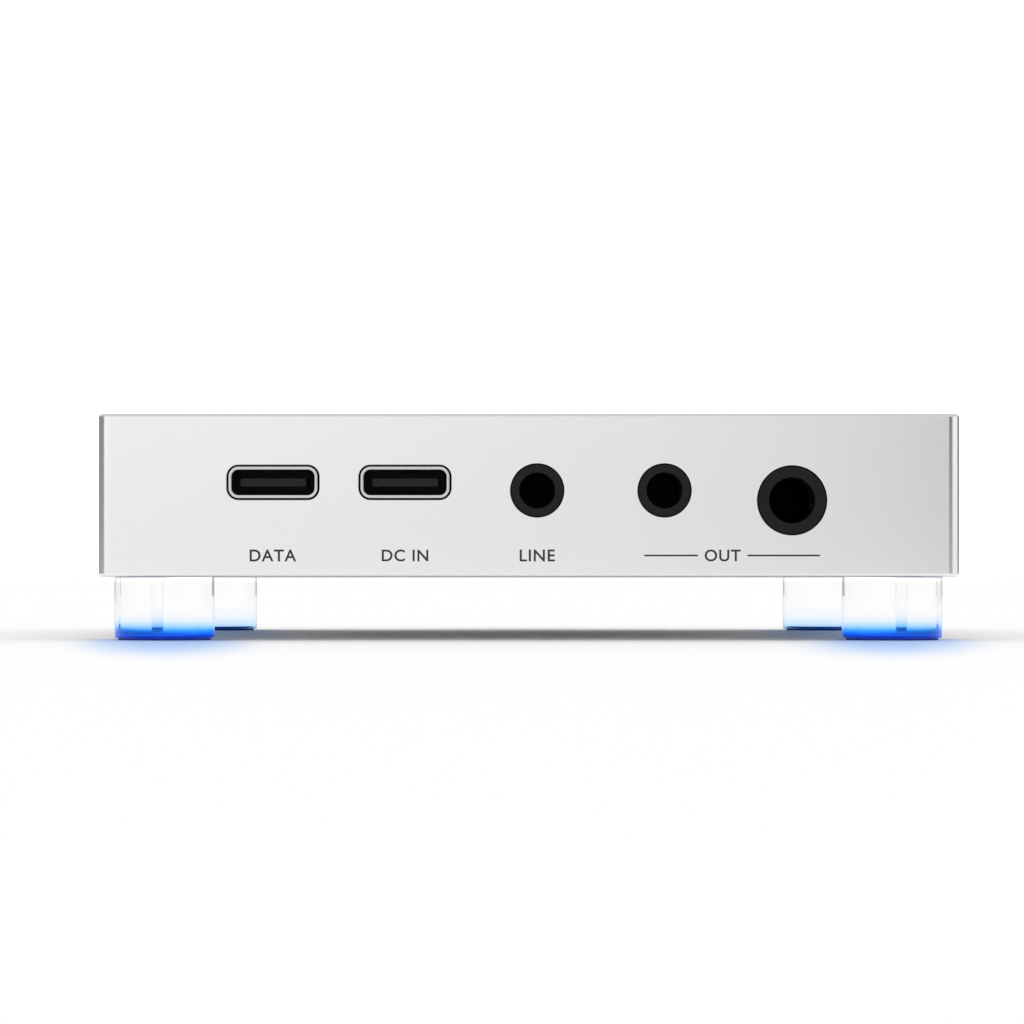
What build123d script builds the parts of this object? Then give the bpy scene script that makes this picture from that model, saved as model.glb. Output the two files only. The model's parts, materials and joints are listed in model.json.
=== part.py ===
from build123d import *
import os

# Desktop digital-to-analogue converter with a headphone amplifier. A one-piece aluminium case, open
# underneath, hangs its circuit board upside down below its top wall. A bottom plate closes it, and it
# stands on four clear light-guide feet. Millimetres, +Z up, ports towards -Y, volume knob towards +Y.
# The origin is on the floor, at the centre of the bounding box.

# --- driving dimensions ---------------------------------------------------------------------------
BODY_W = 86.6
BODY_D = 86.6
BODY_H = 16.4
UNDERSIDE_Z = 6.4
WALL = 1.8
TOP_WALL = 1.6
CORNER_R = 1.2
EDGE_R = 0.35

PLATE_T = 1.5
PLATE_GAP = 0.1

FOOT_D = 10.2
FOOT_INSET = 1.1
FOOT_EDGE_R = 0.2
STEM_D = 4.0
STEM_GAP = 0.05
PAD_D = 9.4
PAD_T = 0.5
PAD_SHOWS = 0.2
PAD_GAP = 0.05

KNOB_D = 12.0
KNOB_L = 9.0
KNOB_GAP = 0.8

# Port centres: X across the front, Z above the floor.
DATA_PORT = (-25.7, 15.9)
POWER_PORT = (-12.45, 15.9)
LINE_OUT = (0.82, 15.09)
PHONE_OUT = (13.6, 15.09)
BALANCED_OUT = (26.4, 14.1)
PORT_GAP = 0.1
PORT_CHAMFER = 0.12

# --- USB-C sockets --------------------------------------------------------------------------------
USB_W = 8.94
USB_H = 3.16
USB_R = 1.0
USB_GAP = 0.18
USB_L = 7.4
USB_WALL = 0.3
USB_BACK_WALL = 0.4
TONGUE_W = 6.69
TONGUE_T = 0.8
TONGUE_SETBACK = 0.9
TONGUE_STEP = 1.0
TONGUE_STEP_T = 1.5
TONGUE_BASE = 1.2
PIN_COUNT = 12
PIN_PITCH = 0.5
PIN_SIZE = (0.26, 3.2, 0.02)

# --- jacks: nose and bore diameters, bore depth from the front, housing width, contacts -----------
JACK_35 = {"nose": 5.2, "bore": 3.6, "depth": 12.6, "width": 6.2, "contacts": 3}
JACK_44 = {"nose": 6.8, "bore": 4.6, "depth": 20.7, "width": 8.2, "contacts": 5}
JACK_BACK_WALL = 0.8
JACK_BELOW = 0.35
CONTACT_T = 0.25
CONTACT_H = 1.1
CONTACT_GAP = 0.05
CONTACT_START = 3.0
CONTACT_SPACE = 0.6
SLOT_GAP = 0.1
TAIL_W = 0.8

# --- board and components: width, depth and height ------------------------------------------------
PCB_T = 1.6
PCB_MARGIN = 0.5
PCB_NOTCH = (7.4, 7.0)
ENCODER_NOTCH = (10.6, 14.4)
LED_SIZE = (3.5, 2.8, 0.6)
LED_GAP = 0.1
DAC_SIZE = (7.0, 7.0, 0.9)
BRIDGE_SIZE = (9.0, 9.0, 0.9)
CRYSTAL_SIZE = (3.2, 2.5, 0.9)
AMPLIFIER_SIZE = (4.0, 4.0, 0.9)
INDUCTOR_SIZE = (5.0, 5.0, 2.8)
SHIELD_SIZE = (14.0, 10.0, 2.0)
CAN_BASE = (5.2, 5.2, 1.0)
CAN_D = 5.0
CAN_H = 6.0
CAN_EDGE_R = 0.4

# Component places, counted from the middle of the body.
DAC_PLACE = (-1.0, -4.0)
BRIDGE_PLACE = (-19.0, -1.0)
SHIELD_PLACE = (-21.0, 28.0)
CRYSTAL_PLACES = ((-22.0, -9.5), (-16.0, -9.5))
AMPLIFIER_PLACES = ((11.0, -1.0), (20.0, -1.0))
INDUCTOR_PLACES = ((-8.0, -24.0), (-16.5, -24.0))
CAN_COLUMNS = (-19.0, -12.0, 12.0, 19.0)
CAN_ROWS = (8.0, 17.0)

# --- bosses and screws ----------------------------------------------------------------------------
PLATE_BOSS = (38.5, 24.0)
PLATE_BOSS_D = 6.0
PLATE_THREAD = (2.5, 6.5)
PLATE_SCREW_D = 2.4
PLATE_SCREW_L = 6.9
PLATE_HEAD = (4.7, 2.4, 1.15)
PLATE_SINK = (4.9, 2.1, 1.4)
PLATE_HOLE_D = 2.8
HEX_SOCKET = (0.85, 0.9)
BOARD_BOSSES = ((-30.0, -10.0), (30.0, -10.0), (-30.0, 33.0), (30.0, 33.0))
BOARD_BOSS_D = 5.0
BOARD_THREAD_D = 2.0
BOARD_THREAD_SPARE = 0.5
BOARD_HOLE_D = 2.3
BOARD_SCREW_D = 1.9
BOARD_SCREW_L = 3.9
BOARD_HEAD = (3.6, 1.3)
BOARD_HEAD_R = 0.5
CROSS_SLOT = (2.0, 0.4, 0.7)

# --- encoder: Y is counted outwards from the rear face --------------------------------------------
ENCODER_W = 9.6
ENCODER_L = 5.5
ENCODER_H = 8.8
CHAMBER_D = 7.0
CHAMBER_Y = (-6.3, -2.6)
DOME_D = 5.0
DOME_T = 0.12
BUSHING_D = 6.0
BUSHING_END = 2.4
BUSHING_HOLE_GAP = 0.1
SHAFT_D = 3.5
SHAFT_END = 8.0
SHAFT_FLAT = 1.25
SHAFT_FLAT_START = 2.9
SHAFT_FIT = 0.05
ROTOR_D = 6.4
ROTOR_Y = (-4.0, -3.1)
PLUNGER_D = 2.4
PLUNGER_END = -5.6
WASHER_D = 9.0
WASHER_T = 0.4
NUT_FLATS = 8.0
NUT_T = 1.6
ENCODER_PIN = (0.5, 2.4, 0.3)
ENCODER_PINS = 5
ENCODER_PIN_PITCH = 1.9
KNOB_RIM = 0.5
KNOB_BASE_RIM = 0.25
KNOB_RECESS_D = 9.8
KNOB_RECESS_L = 2.8
GRUB_Y = 6.0
GRUB_D = 1.96
GRUB_L = 3.6
GRUB_HOLE_D = 2.0
GRUB_SOCKET = (0.5, 1.2)

# --- worked out from the above --------------------------------------------------------------------
FRONT_Y = -(BODY_D + KNOB_GAP + KNOB_L) / 2
BACK_Y = FRONT_Y + BODY_D
MID_Y = (FRONT_Y + BACK_Y) / 2
TOP_Z = UNDERSIDE_Z + BODY_H
CEILING_Z = TOP_Z - TOP_WALL
PLATE_TOP_Z = UNDERSIDE_Z + PLATE_T
PCB_FACE_Z = DATA_PORT[1] + USB_H / 2
PCB_BACK_Z = PCB_FACE_Z + PCB_T
KNOB_Z = UNDERSIDE_Z + BODY_H / 2
INNER_W = BODY_W - 2 * WALL
INNER_D = BODY_D - 2 * WALL
FOOT_X = BODY_W / 2 - FOOT_INSET - FOOT_D / 2
FOOT_Y = BODY_D / 2 - FOOT_INSET - FOOT_D / 2
STEM_L = PCB_FACE_Z - LED_SIZE[2] - LED_GAP - UNDERSIDE_Z
USB_BACK = FRONT_Y + USB_L - USB_BACK_WALL
USB_INNER = (USB_W - 2 * USB_WALL, USB_H - 2 * USB_WALL, USB_R - USB_WALL)

SIDES = {"left": -1, "right": 1}
ENDS = {"front": -1, "rear": 1}
PORTS = {"data": DATA_PORT, "power": POWER_PORT}
JACKS = {
    "line_out": (LINE_OUT, JACK_35),
    "phone_out": (PHONE_OUT, JACK_35),
    "balanced_out": (BALANCED_OUT, JACK_44),
}
OVER = 1.0
LOW = (Align.CENTER, Align.CENTER, Align.MIN)


# --- helpers --------------------------------------------------------------------------------------
def block(size, x, y, z):
    """Box of that size centred on x and y, standing on z."""
    return Pos(x, y, z) * Box(*size, align=LOW)


def post(d, h, x, y, z):
    """Upright cylinder standing on z."""
    return Pos(x, y, z) * Cylinder(d / 2, h, align=LOW)


def rod(d, y0, y1, x, z):
    """Cylinder along Y from y0 to y1."""
    return Pos(x, y0, z) * Rot(-90, 0, 0) * Cylinder(d / 2, y1 - y0, align=LOW)


def upright(x, y, z):
    """Plane that faces +Y at that point, for a sketch to be extruded along Y."""
    return Plane(origin=(x, y, z), x_dir=(1, 0, 0), z_dir=(0, 1, 0))


def slab(w, h, r, y0, y1, place):
    """Rounded rectangle, w by h, extruded along Y from y0 to y1."""
    x, z = place
    return extrude(upright(x, y0, z) * RectangleRounded(w, h, r), y1 - y0)


def joined(solids):
    """Compound of separate solids that share one node."""
    return Compound(children=list(solids))


def four(dx, dy):
    """The four places dx and dy either side of the body's middle."""
    return [(sx * dx, MID_Y + sy * dy) for sy in ENDS.values() for sx in SIDES.values()]


def hung(size, place):
    """Component of that size soldered to the board's lower face."""
    x, y = place
    return block(size, x, y + MID_Y, PCB_FACE_Z - size[2])


# --- case -----------------------------------------------------------------------------------------
def port_cuts():
    """Openings in the front wall for the sockets and the jacks' noses."""
    outside, inside = FRONT_Y - OVER, FRONT_Y + WALL + 0.01
    wide, high, r = USB_W + 2 * USB_GAP, USB_H + 2 * USB_GAP, USB_R + USB_GAP
    cuts = [slab(wide, high, r, outside, inside, place) for place in PORTS.values()]
    for (x, z), jack in JACKS.values():
        cuts.append(rod(jack["nose"] + 2 * PORT_GAP, outside, inside, x, z))
    return cuts


def is_port_edge(edge):
    """True for an edge on the front face that lies well inside its outline."""
    box = edge.bounding_box()
    on_front = max(abs(box.min.Y - FRONT_Y), abs(box.max.Y - FRONT_Y)) < 1e-4
    within_x = max(abs(box.min.X), abs(box.max.X)) < BODY_W / 2 - 2 * CORNER_R
    within_z = box.min.Z > UNDERSIDE_Z + 2 * EDGE_R and box.max.Z < TOP_Z - 2 * EDGE_R
    return on_front and within_x and within_z


def plate_boss(x, y):
    """Post for a plate screw, joined to the side wall by a web."""
    height = CEILING_Z - PLATE_TOP_Z
    gap = INNER_W / 2 - abs(x)
    web_x = x + gap / 2 * (1 if x > 0 else -1)
    web = block((gap, PLATE_BOSS_D, height), web_x, y, PLATE_TOP_Z)
    return post(PLATE_BOSS_D, height, x, y, PLATE_TOP_Z) + web


def case_shell():
    """Top and four walls in one piece, with bosses for the plate and the board."""
    outer = block((BODY_W, BODY_D, BODY_H), 0, MID_Y, UNDERSIDE_Z)
    outer = fillet(outer.edges().filter_by(Axis.Z), CORNER_R)
    outer = fillet(outer.faces().sort_by(Axis.Z)[-1].edges(), EDGE_R)
    outer = fillet(outer.faces().sort_by(Axis.Z)[0].edges(), EDGE_R)
    room = block((INNER_W, INNER_D, CEILING_Z - UNDERSIDE_Z), 0, MID_Y, UNDERSIDE_Z)
    shell = outer - room
    for x, y in four(*PLATE_BOSS):
        shell += plate_boss(x, y) & room
        shell -= post(*PLATE_THREAD, x, y, PLATE_TOP_Z)
    for x, y in BOARD_BOSSES:
        height = CEILING_Z - PCB_BACK_Z
        shell += post(BOARD_BOSS_D, height, x, y + MID_Y, PCB_BACK_Z)
        shell -= post(BOARD_THREAD_D, height + BOARD_THREAD_SPARE, x, y + MID_Y, PCB_BACK_Z)
    for cut in port_cuts():
        shell -= cut
    shell = chamfer([e for e in shell.edges() if is_port_edge(e)], PORT_CHAMFER)
    hole_d = BUSHING_D + 2 * BUSHING_HOLE_GAP
    return shell - rod(hole_d, BACK_Y - WALL - 0.01, BACK_Y + OVER, 0, KNOB_Z)


def bottom_plate():
    """Plate that closes the case, with holes for its screws and for the light-guide stems."""
    size = (INNER_W - 2 * PLATE_GAP, INNER_D - 2 * PLATE_GAP, PLATE_T)
    plate = block(size, 0, MID_Y, UNDERSIDE_Z)
    wide, narrow, deep = PLATE_SINK
    for x, y in four(*PLATE_BOSS):
        plate -= post(PLATE_HOLE_D, PLATE_T, x, y, UNDERSIDE_Z)
        plate -= Pos(x, y, UNDERSIDE_Z) * Cone(wide / 2, narrow / 2, deep, align=LOW)
    for x, y in four(FOOT_X, FOOT_Y):
        plate -= post(STEM_D + 2 * STEM_GAP, PLATE_T, x, y, UNDERSIDE_Z)
    return plate


def plate_screws():
    """Four countersunk screws, driven up into the case's bosses."""
    wide, narrow, deep = PLATE_HEAD
    across, socket_depth = HEX_SOCKET
    screws = []
    for x, y in four(*PLATE_BOSS):
        head = Pos(x, y, UNDERSIDE_Z) * Cone(wide / 2, narrow / 2, deep, align=LOW)
        shank = post(PLATE_SCREW_D, PLATE_SCREW_L - deep / 2, x, y, UNDERSIDE_Z + deep / 2)
        socket = Pos(x, y, UNDERSIDE_Z) * extrude(RegularPolygon(across, 6), socket_depth)
        screws.append(head + shank - socket)
    return joined(screws)


# --- feet -----------------------------------------------------------------------------------------
def foot(x, y):
    """Clear cylinder with a stem that carries light down from an LED, recessed below for its pad."""
    body = post(FOOT_D, UNDERSIDE_Z - PAD_SHOWS, x, y, PAD_SHOWS)
    body = fillet(body.edges().sort_by(Axis.Z)[0], FOOT_EDGE_R)
    body += post(STEM_D, STEM_L, x, y, UNDERSIDE_Z)
    return body - post(PAD_D + 2 * PAD_GAP, PAD_T - PAD_SHOWS, x, y, PAD_SHOWS)


def pad(x, y):
    """Anti-slip disc stuck in the recess under a foot."""
    return post(PAD_D, PAD_T, x, y, 0)


# --- board and what is soldered to it -------------------------------------------------------------
def main_pcb():
    """Board hung under the top wall, component side down, notched round the bosses and the encoder."""
    board = block((INNER_W - 2 * PCB_MARGIN, INNER_D - 2 * PCB_MARGIN, PCB_T), 0, MID_Y, PCB_FACE_Z)
    wide, deep = PCB_NOTCH
    for x, y in four(*PLATE_BOSS):
        shift = wide / 2 if x > 0 else -wide / 2
        board -= block((2 * wide, deep, PCB_T), x + shift, y, PCB_FACE_Z)
    for x, y in BOARD_BOSSES:
        board -= post(BOARD_HOLE_D, PCB_T, x, y + MID_Y, PCB_FACE_Z)
    return board - block((*ENCODER_NOTCH, PCB_T), 0, BACK_Y - WALL, PCB_FACE_Z)


def pcb_screws():
    """Four pan-head screws that hold the board to its bosses."""
    long, thin, deep = CROSS_SLOT
    head_d, head_h = BOARD_HEAD
    screws = []
    for x, y in BOARD_BOSSES:
        low = PCB_FACE_Z - head_h
        head = post(head_d, head_h, x, y + MID_Y, low)
        head = fillet(head.edges().sort_by(Axis.Z)[0], BOARD_HEAD_R)
        screw = head + post(BOARD_SCREW_D, BOARD_SCREW_L, x, y + MID_Y, PCB_FACE_Z)
        screw -= block((long, thin, deep), x, y + MID_Y, low)
        screw -= block((thin, long, deep), x, y + MID_Y, low)
        screws.append(screw)
    return joined(screws)


def foot_leds():
    """One LED above each foot's stem."""
    return joined(hung(LED_SIZE, (x, y - MID_Y)) for x, y in four(FOOT_X, FOOT_Y))


def capacitors():
    """Electrolytic cans, each a square moulded base with a round can, in two rows of four."""
    cans = []
    for x in CAN_COLUMNS:
        for y in CAN_ROWS:
            can = post(CAN_D, CAN_H - CAN_BASE[2], x, y + MID_Y, PCB_FACE_Z - CAN_H)
            can = fillet(can.edges().sort_by(Axis.Z)[0], CAN_EDGE_R)
            cans.append(can + hung(CAN_BASE, (x, y)))
    return joined(cans)


# --- USB-C sockets --------------------------------------------------------------------------------
def usb_shell(place):
    """Drawn steel shell, closed behind, flush with the front."""
    outer = slab(USB_W, USB_H, USB_R, FRONT_Y, FRONT_Y + USB_L, place)
    return outer - slab(*USB_INNER, FRONT_Y - OVER, USB_BACK, place)


def usb_tongue(place):
    """Moulded insulator: the block at the back and the tongue that a plug slides over."""
    step_end = USB_BACK - TONGUE_BASE
    step_start = step_end - TONGUE_STEP
    base = slab(*USB_INNER, step_end, USB_BACK, place)
    step = slab(TONGUE_W, TONGUE_STEP_T, TONGUE_STEP_T / 5, step_start, step_end, place)
    tongue = slab(TONGUE_W, TONGUE_T, TONGUE_T / 5, FRONT_Y + TONGUE_SETBACK, step_start, place)
    return base + step + tongue


def usb_contacts(place):
    """Rows of flat contacts on both faces of the tongue."""
    x, z = place
    thick = PIN_SIZE[2]
    y = (FRONT_Y + TONGUE_SETBACK + USB_BACK - TONGUE_BASE - TONGUE_STEP) / 2
    lows = (z + TONGUE_T / 2, z - TONGUE_T / 2 - thick)
    offsets = [(k - (PIN_COUNT - 1) / 2) * PIN_PITCH for k in range(PIN_COUNT)]
    return joined(block(PIN_SIZE, x + dx, y, low) for low in lows for dx in offsets)


# --- jacks ----------------------------------------------------------------------------------------
def contact_places(jack):
    """Side, middle and length of each contact along the bore, from the nose backwards."""
    pitch = (jack["depth"] - CONTACT_START) / jack["contacts"]
    start = FRONT_Y + CONTACT_START
    return [((-1) ** k, start + pitch * (k + 0.5), pitch - CONTACT_SPACE) for k in range(jack["contacts"])]


def jack_housing(place, jack):
    """Moulded housing with a round nose that fills the hole in the front, slotted for its contacts."""
    x, z = place
    bore, width, nose = jack["bore"], jack["width"], jack["nose"]
    length = jack["depth"] + JACK_BACK_WALL - WALL
    high = PCB_FACE_Z - z + nose / 2 + JACK_BELOW
    housing = block((width, length, high), x, FRONT_Y + WALL + length / 2, PCB_FACE_Z - high)
    housing += rod(nose, FRONT_Y, FRONT_Y + WALL, x, z)
    housing -= rod(bore, FRONT_Y - OVER, FRONT_Y + jack["depth"], x, z)
    slot_h = CONTACT_H + 2 * SLOT_GAP
    for side, y, contact_l in contact_places(jack):
        slot = (width / 2, contact_l + 2 * SLOT_GAP, slot_h)
        housing -= block(slot, x + side * (bore / 2 + width / 4 - SLOT_GAP), y, z - slot_h / 2)
    return housing


def jack_contacts(place, jack):
    """Leaf contacts beside the bore, each with a tail up the housing's side to the board."""
    x, z = place
    near = jack["bore"] / 2 + CONTACT_GAP
    far = jack["width"] / 2 + CONTACT_GAP
    low = z - CONTACT_H / 2
    leaves = []
    for side, y, length in contact_places(jack):
        leaf = block((CONTACT_T, length, CONTACT_H), x + side * (near + CONTACT_T / 2), y, low)
        arm_size = (far + CONTACT_T - near, TAIL_W, CONTACT_H)
        arm = block(arm_size, x + side * (near + far + CONTACT_T) / 2, y, low)
        tail = block((CONTACT_T, TAIL_W, PCB_FACE_Z - low), x + side * (far + CONTACT_T / 2), y, low)
        leaves.append(leaf + arm + tail)
    return joined(leaves)


# --- volume control -------------------------------------------------------------------------------
def axle(d, y0, y1):
    """Cylinder on the knob's axis, with Y counted outwards from the rear face."""
    return rod(d, BACK_Y + y0, BACK_Y + y1, 0, KNOB_Z)


def d_axle(d, y0, y1, flat):
    """Axle cut flat on top, at that distance from the axis."""
    return axle(d, y0, y1) - block((d, y1 - y0, d), 0, BACK_Y + (y0 + y1) / 2, KNOB_Z + flat)


def encoder_housing():
    """Moulded body with a chamber for the rotor and the push switch."""
    size = (ENCODER_W, ENCODER_L, ENCODER_H)
    body = block(size, 0, BACK_Y - WALL - ENCODER_L / 2, KNOB_Z - ENCODER_H / 2)
    return body - axle(CHAMBER_D, *CHAMBER_Y) - axle(SHAFT_D + 4 * SHAFT_FIT, CHAMBER_Y[1], 0)


def encoder_bushing():
    """Threaded bushing through the rear wall."""
    bushing = axle(BUSHING_D, -WALL, BUSHING_END)
    bushing = chamfer(bushing.edges().filter_by(GeomType.CIRCLE).sort_by(Axis.Y)[-1], 0.2)
    return bushing - axle(SHAFT_D + 2 * SHAFT_FIT, -WALL - OVER, BUSHING_END + OVER)


def encoder_washer():
    """Flat washer on the rear face."""
    return axle(WASHER_D, 0, WASHER_T) - axle(BUSHING_D + 2 * BUSHING_HOLE_GAP, 0, WASHER_T)


def encoder_nut():
    """Thin hexagon nut that clamps the bushing."""
    hexagon = RegularPolygon(NUT_FLATS / 2, 6, major_radius=False)
    nut = extrude(upright(0, BACK_Y + WASHER_T, KNOB_Z) * hexagon, NUT_T)
    return nut - axle(BUSHING_D + 0.02, 0, BUSHING_END + OVER)


def encoder_shaft():
    """Shaft with its rotor disc inside the encoder and a D-section end in the knob."""
    stem = axle(SHAFT_D, ROTOR_Y[1], SHAFT_FLAT_START)
    return axle(ROTOR_D, *ROTOR_Y) + stem + d_axle(SHAFT_D, SHAFT_FLAT_START, SHAFT_END, SHAFT_FLAT)


def encoder_pins():
    """Solder pins from the encoder's back to the board."""
    y = BACK_Y - WALL - ENCODER_L - ENCODER_PIN[1] / 2
    offsets = [(k - (ENCODER_PINS - 1) / 2) * ENCODER_PIN_PITCH for k in range(ENCODER_PINS)]
    return joined(block(ENCODER_PIN, dx, y, PCB_FACE_Z - ENCODER_PIN[2]) for dx in offsets)


def volume_knob():
    """Turned knob with a recess that clears the nut, a D-section bore and a grub screw hole."""
    knob = axle(KNOB_D, KNOB_GAP, KNOB_GAP + KNOB_L)
    knob = chamfer(knob.edges().filter_by(GeomType.CIRCLE).sort_by(Axis.Y)[-1], KNOB_RIM)
    knob = chamfer(knob.edges().filter_by(GeomType.CIRCLE).sort_by(Axis.Y)[0], KNOB_BASE_RIM)
    knob -= axle(KNOB_RECESS_D, 0, KNOB_GAP + KNOB_RECESS_L)
    knob -= d_axle(SHAFT_D + 0.02, KNOB_GAP + KNOB_RECESS_L - 0.1, SHAFT_END + 0.02, SHAFT_FLAT + 0.01)
    return knob - post(GRUB_HOLE_D, KNOB_D, 0, BACK_Y + GRUB_Y, KNOB_Z + SHAFT_FLAT)


def knob_grub_screw():
    """Socket set screw that bears on the shaft's flat."""
    low = KNOB_Z + SHAFT_FLAT + 0.02
    across, deep = GRUB_SOCKET
    socket = Pos(0, BACK_Y + GRUB_Y, low + GRUB_L - deep) * extrude(RegularPolygon(across, 6), deep)
    return post(GRUB_D, GRUB_L, 0, BACK_Y + GRUB_Y, low) - socket


def volume_nodes():
    """The encoder's pieces and the knob."""
    return {
        "encoder_housing": encoder_housing(),
        "encoder_bushing": encoder_bushing(),
        "encoder_washer": encoder_washer(),
        "encoder_nut": encoder_nut(),
        "encoder_pins": encoder_pins(),
        "switch_dome": axle(DOME_D, CHAMBER_Y[0], CHAMBER_Y[0] + DOME_T),
        "encoder_plunger": axle(PLUNGER_D, PLUNGER_END, ROTOR_Y[0]),
        "encoder_shaft": encoder_shaft(),
        "volume_knob": volume_knob(),
        "knob_grub_screw": knob_grub_screw(),
    }


# --- everything, one node each --------------------------------------------------------------------
def case_nodes():
    """Case, plate, screws and the four feet with their pads."""
    nodes = {
        "case_shell": case_shell(),
        "bottom_plate": bottom_plate(),
        "plate_screws": plate_screws(),
    }
    for end, sy in ENDS.items():
        for side, sx in SIDES.items():
            nodes[f"foot_{end}_{side}"] = foot(sx * FOOT_X, MID_Y + sy * FOOT_Y)
            nodes[f"pad_{end}_{side}"] = pad(sx * FOOT_X, MID_Y + sy * FOOT_Y)
    return nodes


def board_nodes():
    """The board, its screws and its components."""
    return {
        "main_pcb": main_pcb(),
        "pcb_screws": pcb_screws(),
        "foot_leds": foot_leds(),
        "dac_chip": hung(DAC_SIZE, DAC_PLACE),
        "bridge_chip": hung(BRIDGE_SIZE, BRIDGE_PLACE),
        "clock_crystals": joined(hung(CRYSTAL_SIZE, place) for place in CRYSTAL_PLACES),
        "amplifier_chips": joined(hung(AMPLIFIER_SIZE, place) for place in AMPLIFIER_PLACES),
        "power_inductors": joined(hung(INDUCTOR_SIZE, place) for place in INDUCTOR_PLACES),
        "power_shield_can": hung(SHIELD_SIZE, SHIELD_PLACE),
        "capacitors": capacitors(),
    }


def port_nodes():
    """The two USB-C sockets and the three jacks."""
    nodes = {}
    for name, place in PORTS.items():
        nodes[f"{name}_port_shell"] = usb_shell(place)
        nodes[f"{name}_port_tongue"] = usb_tongue(place)
        nodes[f"{name}_port_contacts"] = usb_contacts(place)
    for name, (place, jack) in JACKS.items():
        nodes[f"{name}_housing"] = jack_housing(place, jack)
        nodes[f"{name}_contacts"] = jack_contacts(place, jack)
    return nodes


os.makedirs("parts", exist_ok=True)
for node, shape in {**case_nodes(), **board_nodes(), **port_nodes(), **volume_nodes()}.items():
    export_step(shape, f"parts/{node}.step")
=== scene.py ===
"""Looks of a small desktop audio converter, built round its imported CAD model.

The case, feet, pads, sockets, jacks and knob are modelled again with fine edges and stand for their CAD
nodes. Everything inside keeps its CAD shape and gets a finish. Lengths here are in metres.
"""

import json
import logging
import math
from contextlib import contextmanager
from dataclasses import dataclass, field
from enum import Enum
from typing import Callable, Iterator

import bmesh
import bpy
from mathutils import Matrix, Vector


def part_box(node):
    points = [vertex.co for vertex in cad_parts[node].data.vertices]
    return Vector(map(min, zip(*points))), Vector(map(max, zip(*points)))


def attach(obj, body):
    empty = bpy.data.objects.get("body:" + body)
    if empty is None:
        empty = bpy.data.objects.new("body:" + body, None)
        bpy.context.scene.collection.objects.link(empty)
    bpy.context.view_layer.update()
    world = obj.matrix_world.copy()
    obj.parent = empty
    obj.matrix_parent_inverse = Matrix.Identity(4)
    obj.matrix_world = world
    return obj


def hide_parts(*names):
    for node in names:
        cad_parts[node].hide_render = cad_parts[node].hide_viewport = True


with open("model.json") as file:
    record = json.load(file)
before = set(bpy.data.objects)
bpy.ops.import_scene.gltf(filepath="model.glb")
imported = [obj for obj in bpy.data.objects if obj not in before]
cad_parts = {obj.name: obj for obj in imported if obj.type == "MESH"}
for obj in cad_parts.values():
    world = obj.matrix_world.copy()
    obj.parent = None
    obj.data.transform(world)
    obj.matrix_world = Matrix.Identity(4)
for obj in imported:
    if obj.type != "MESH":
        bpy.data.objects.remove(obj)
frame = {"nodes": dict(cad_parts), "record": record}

LOG = logging.getLogger("desktop_dac")
MM = 0.001
CHASSIS = "chassis"
KNOB_BODY = "volume_control"
SHARP = math.radians(30)
WELD = 0.0001 * MM
SLACK = 0.01 * MM
Colour = tuple[float, float, float]
Part = bmesh.types.BMVert | bmesh.types.BMEdge | bmesh.types.BMFace
Test = Callable[[Part], bool]
Tree = bpy.types.NodeTree
Socket = bpy.types.NodeSocket


class Element(Enum):
    """What an edit works on."""

    VERT = "VERT"
    EDGE = "EDGE"
    FACE = "FACE"


class Merge(Enum):
    """How two solids are combined."""

    CUT = "DIFFERENCE"
    JOIN = "UNION"


class Along(Enum):
    """Axis that a drum lies along."""

    Y = "Y"
    Z = "Z"


# --- shaping ------------------------------------------------------------------------------------------
def near(a: float, b: float) -> bool:
    """True where two lengths are the same to a micrometre."""
    return abs(a - b) < 0.001 * MM


def activate(obj: bpy.types.Object) -> None:
    """Selects one object and nothing else.

    Args:
        obj: The object that the next operator works on.
    """
    bpy.ops.object.select_all(action="DESELECT")
    obj.select_set(True)
    bpy.context.view_layer.objects.active = obj


@contextmanager
def editing(obj: bpy.types.Object) -> Iterator[None]:
    """Opens an object's mesh for editing and closes it again.

    Args:
        obj: The object to edit.

    Yields:
        Nothing, while the mesh is open.
    """
    activate(obj)
    bpy.ops.object.mode_set(mode="EDIT")
    yield
    bpy.ops.object.mode_set(mode="OBJECT")


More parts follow.
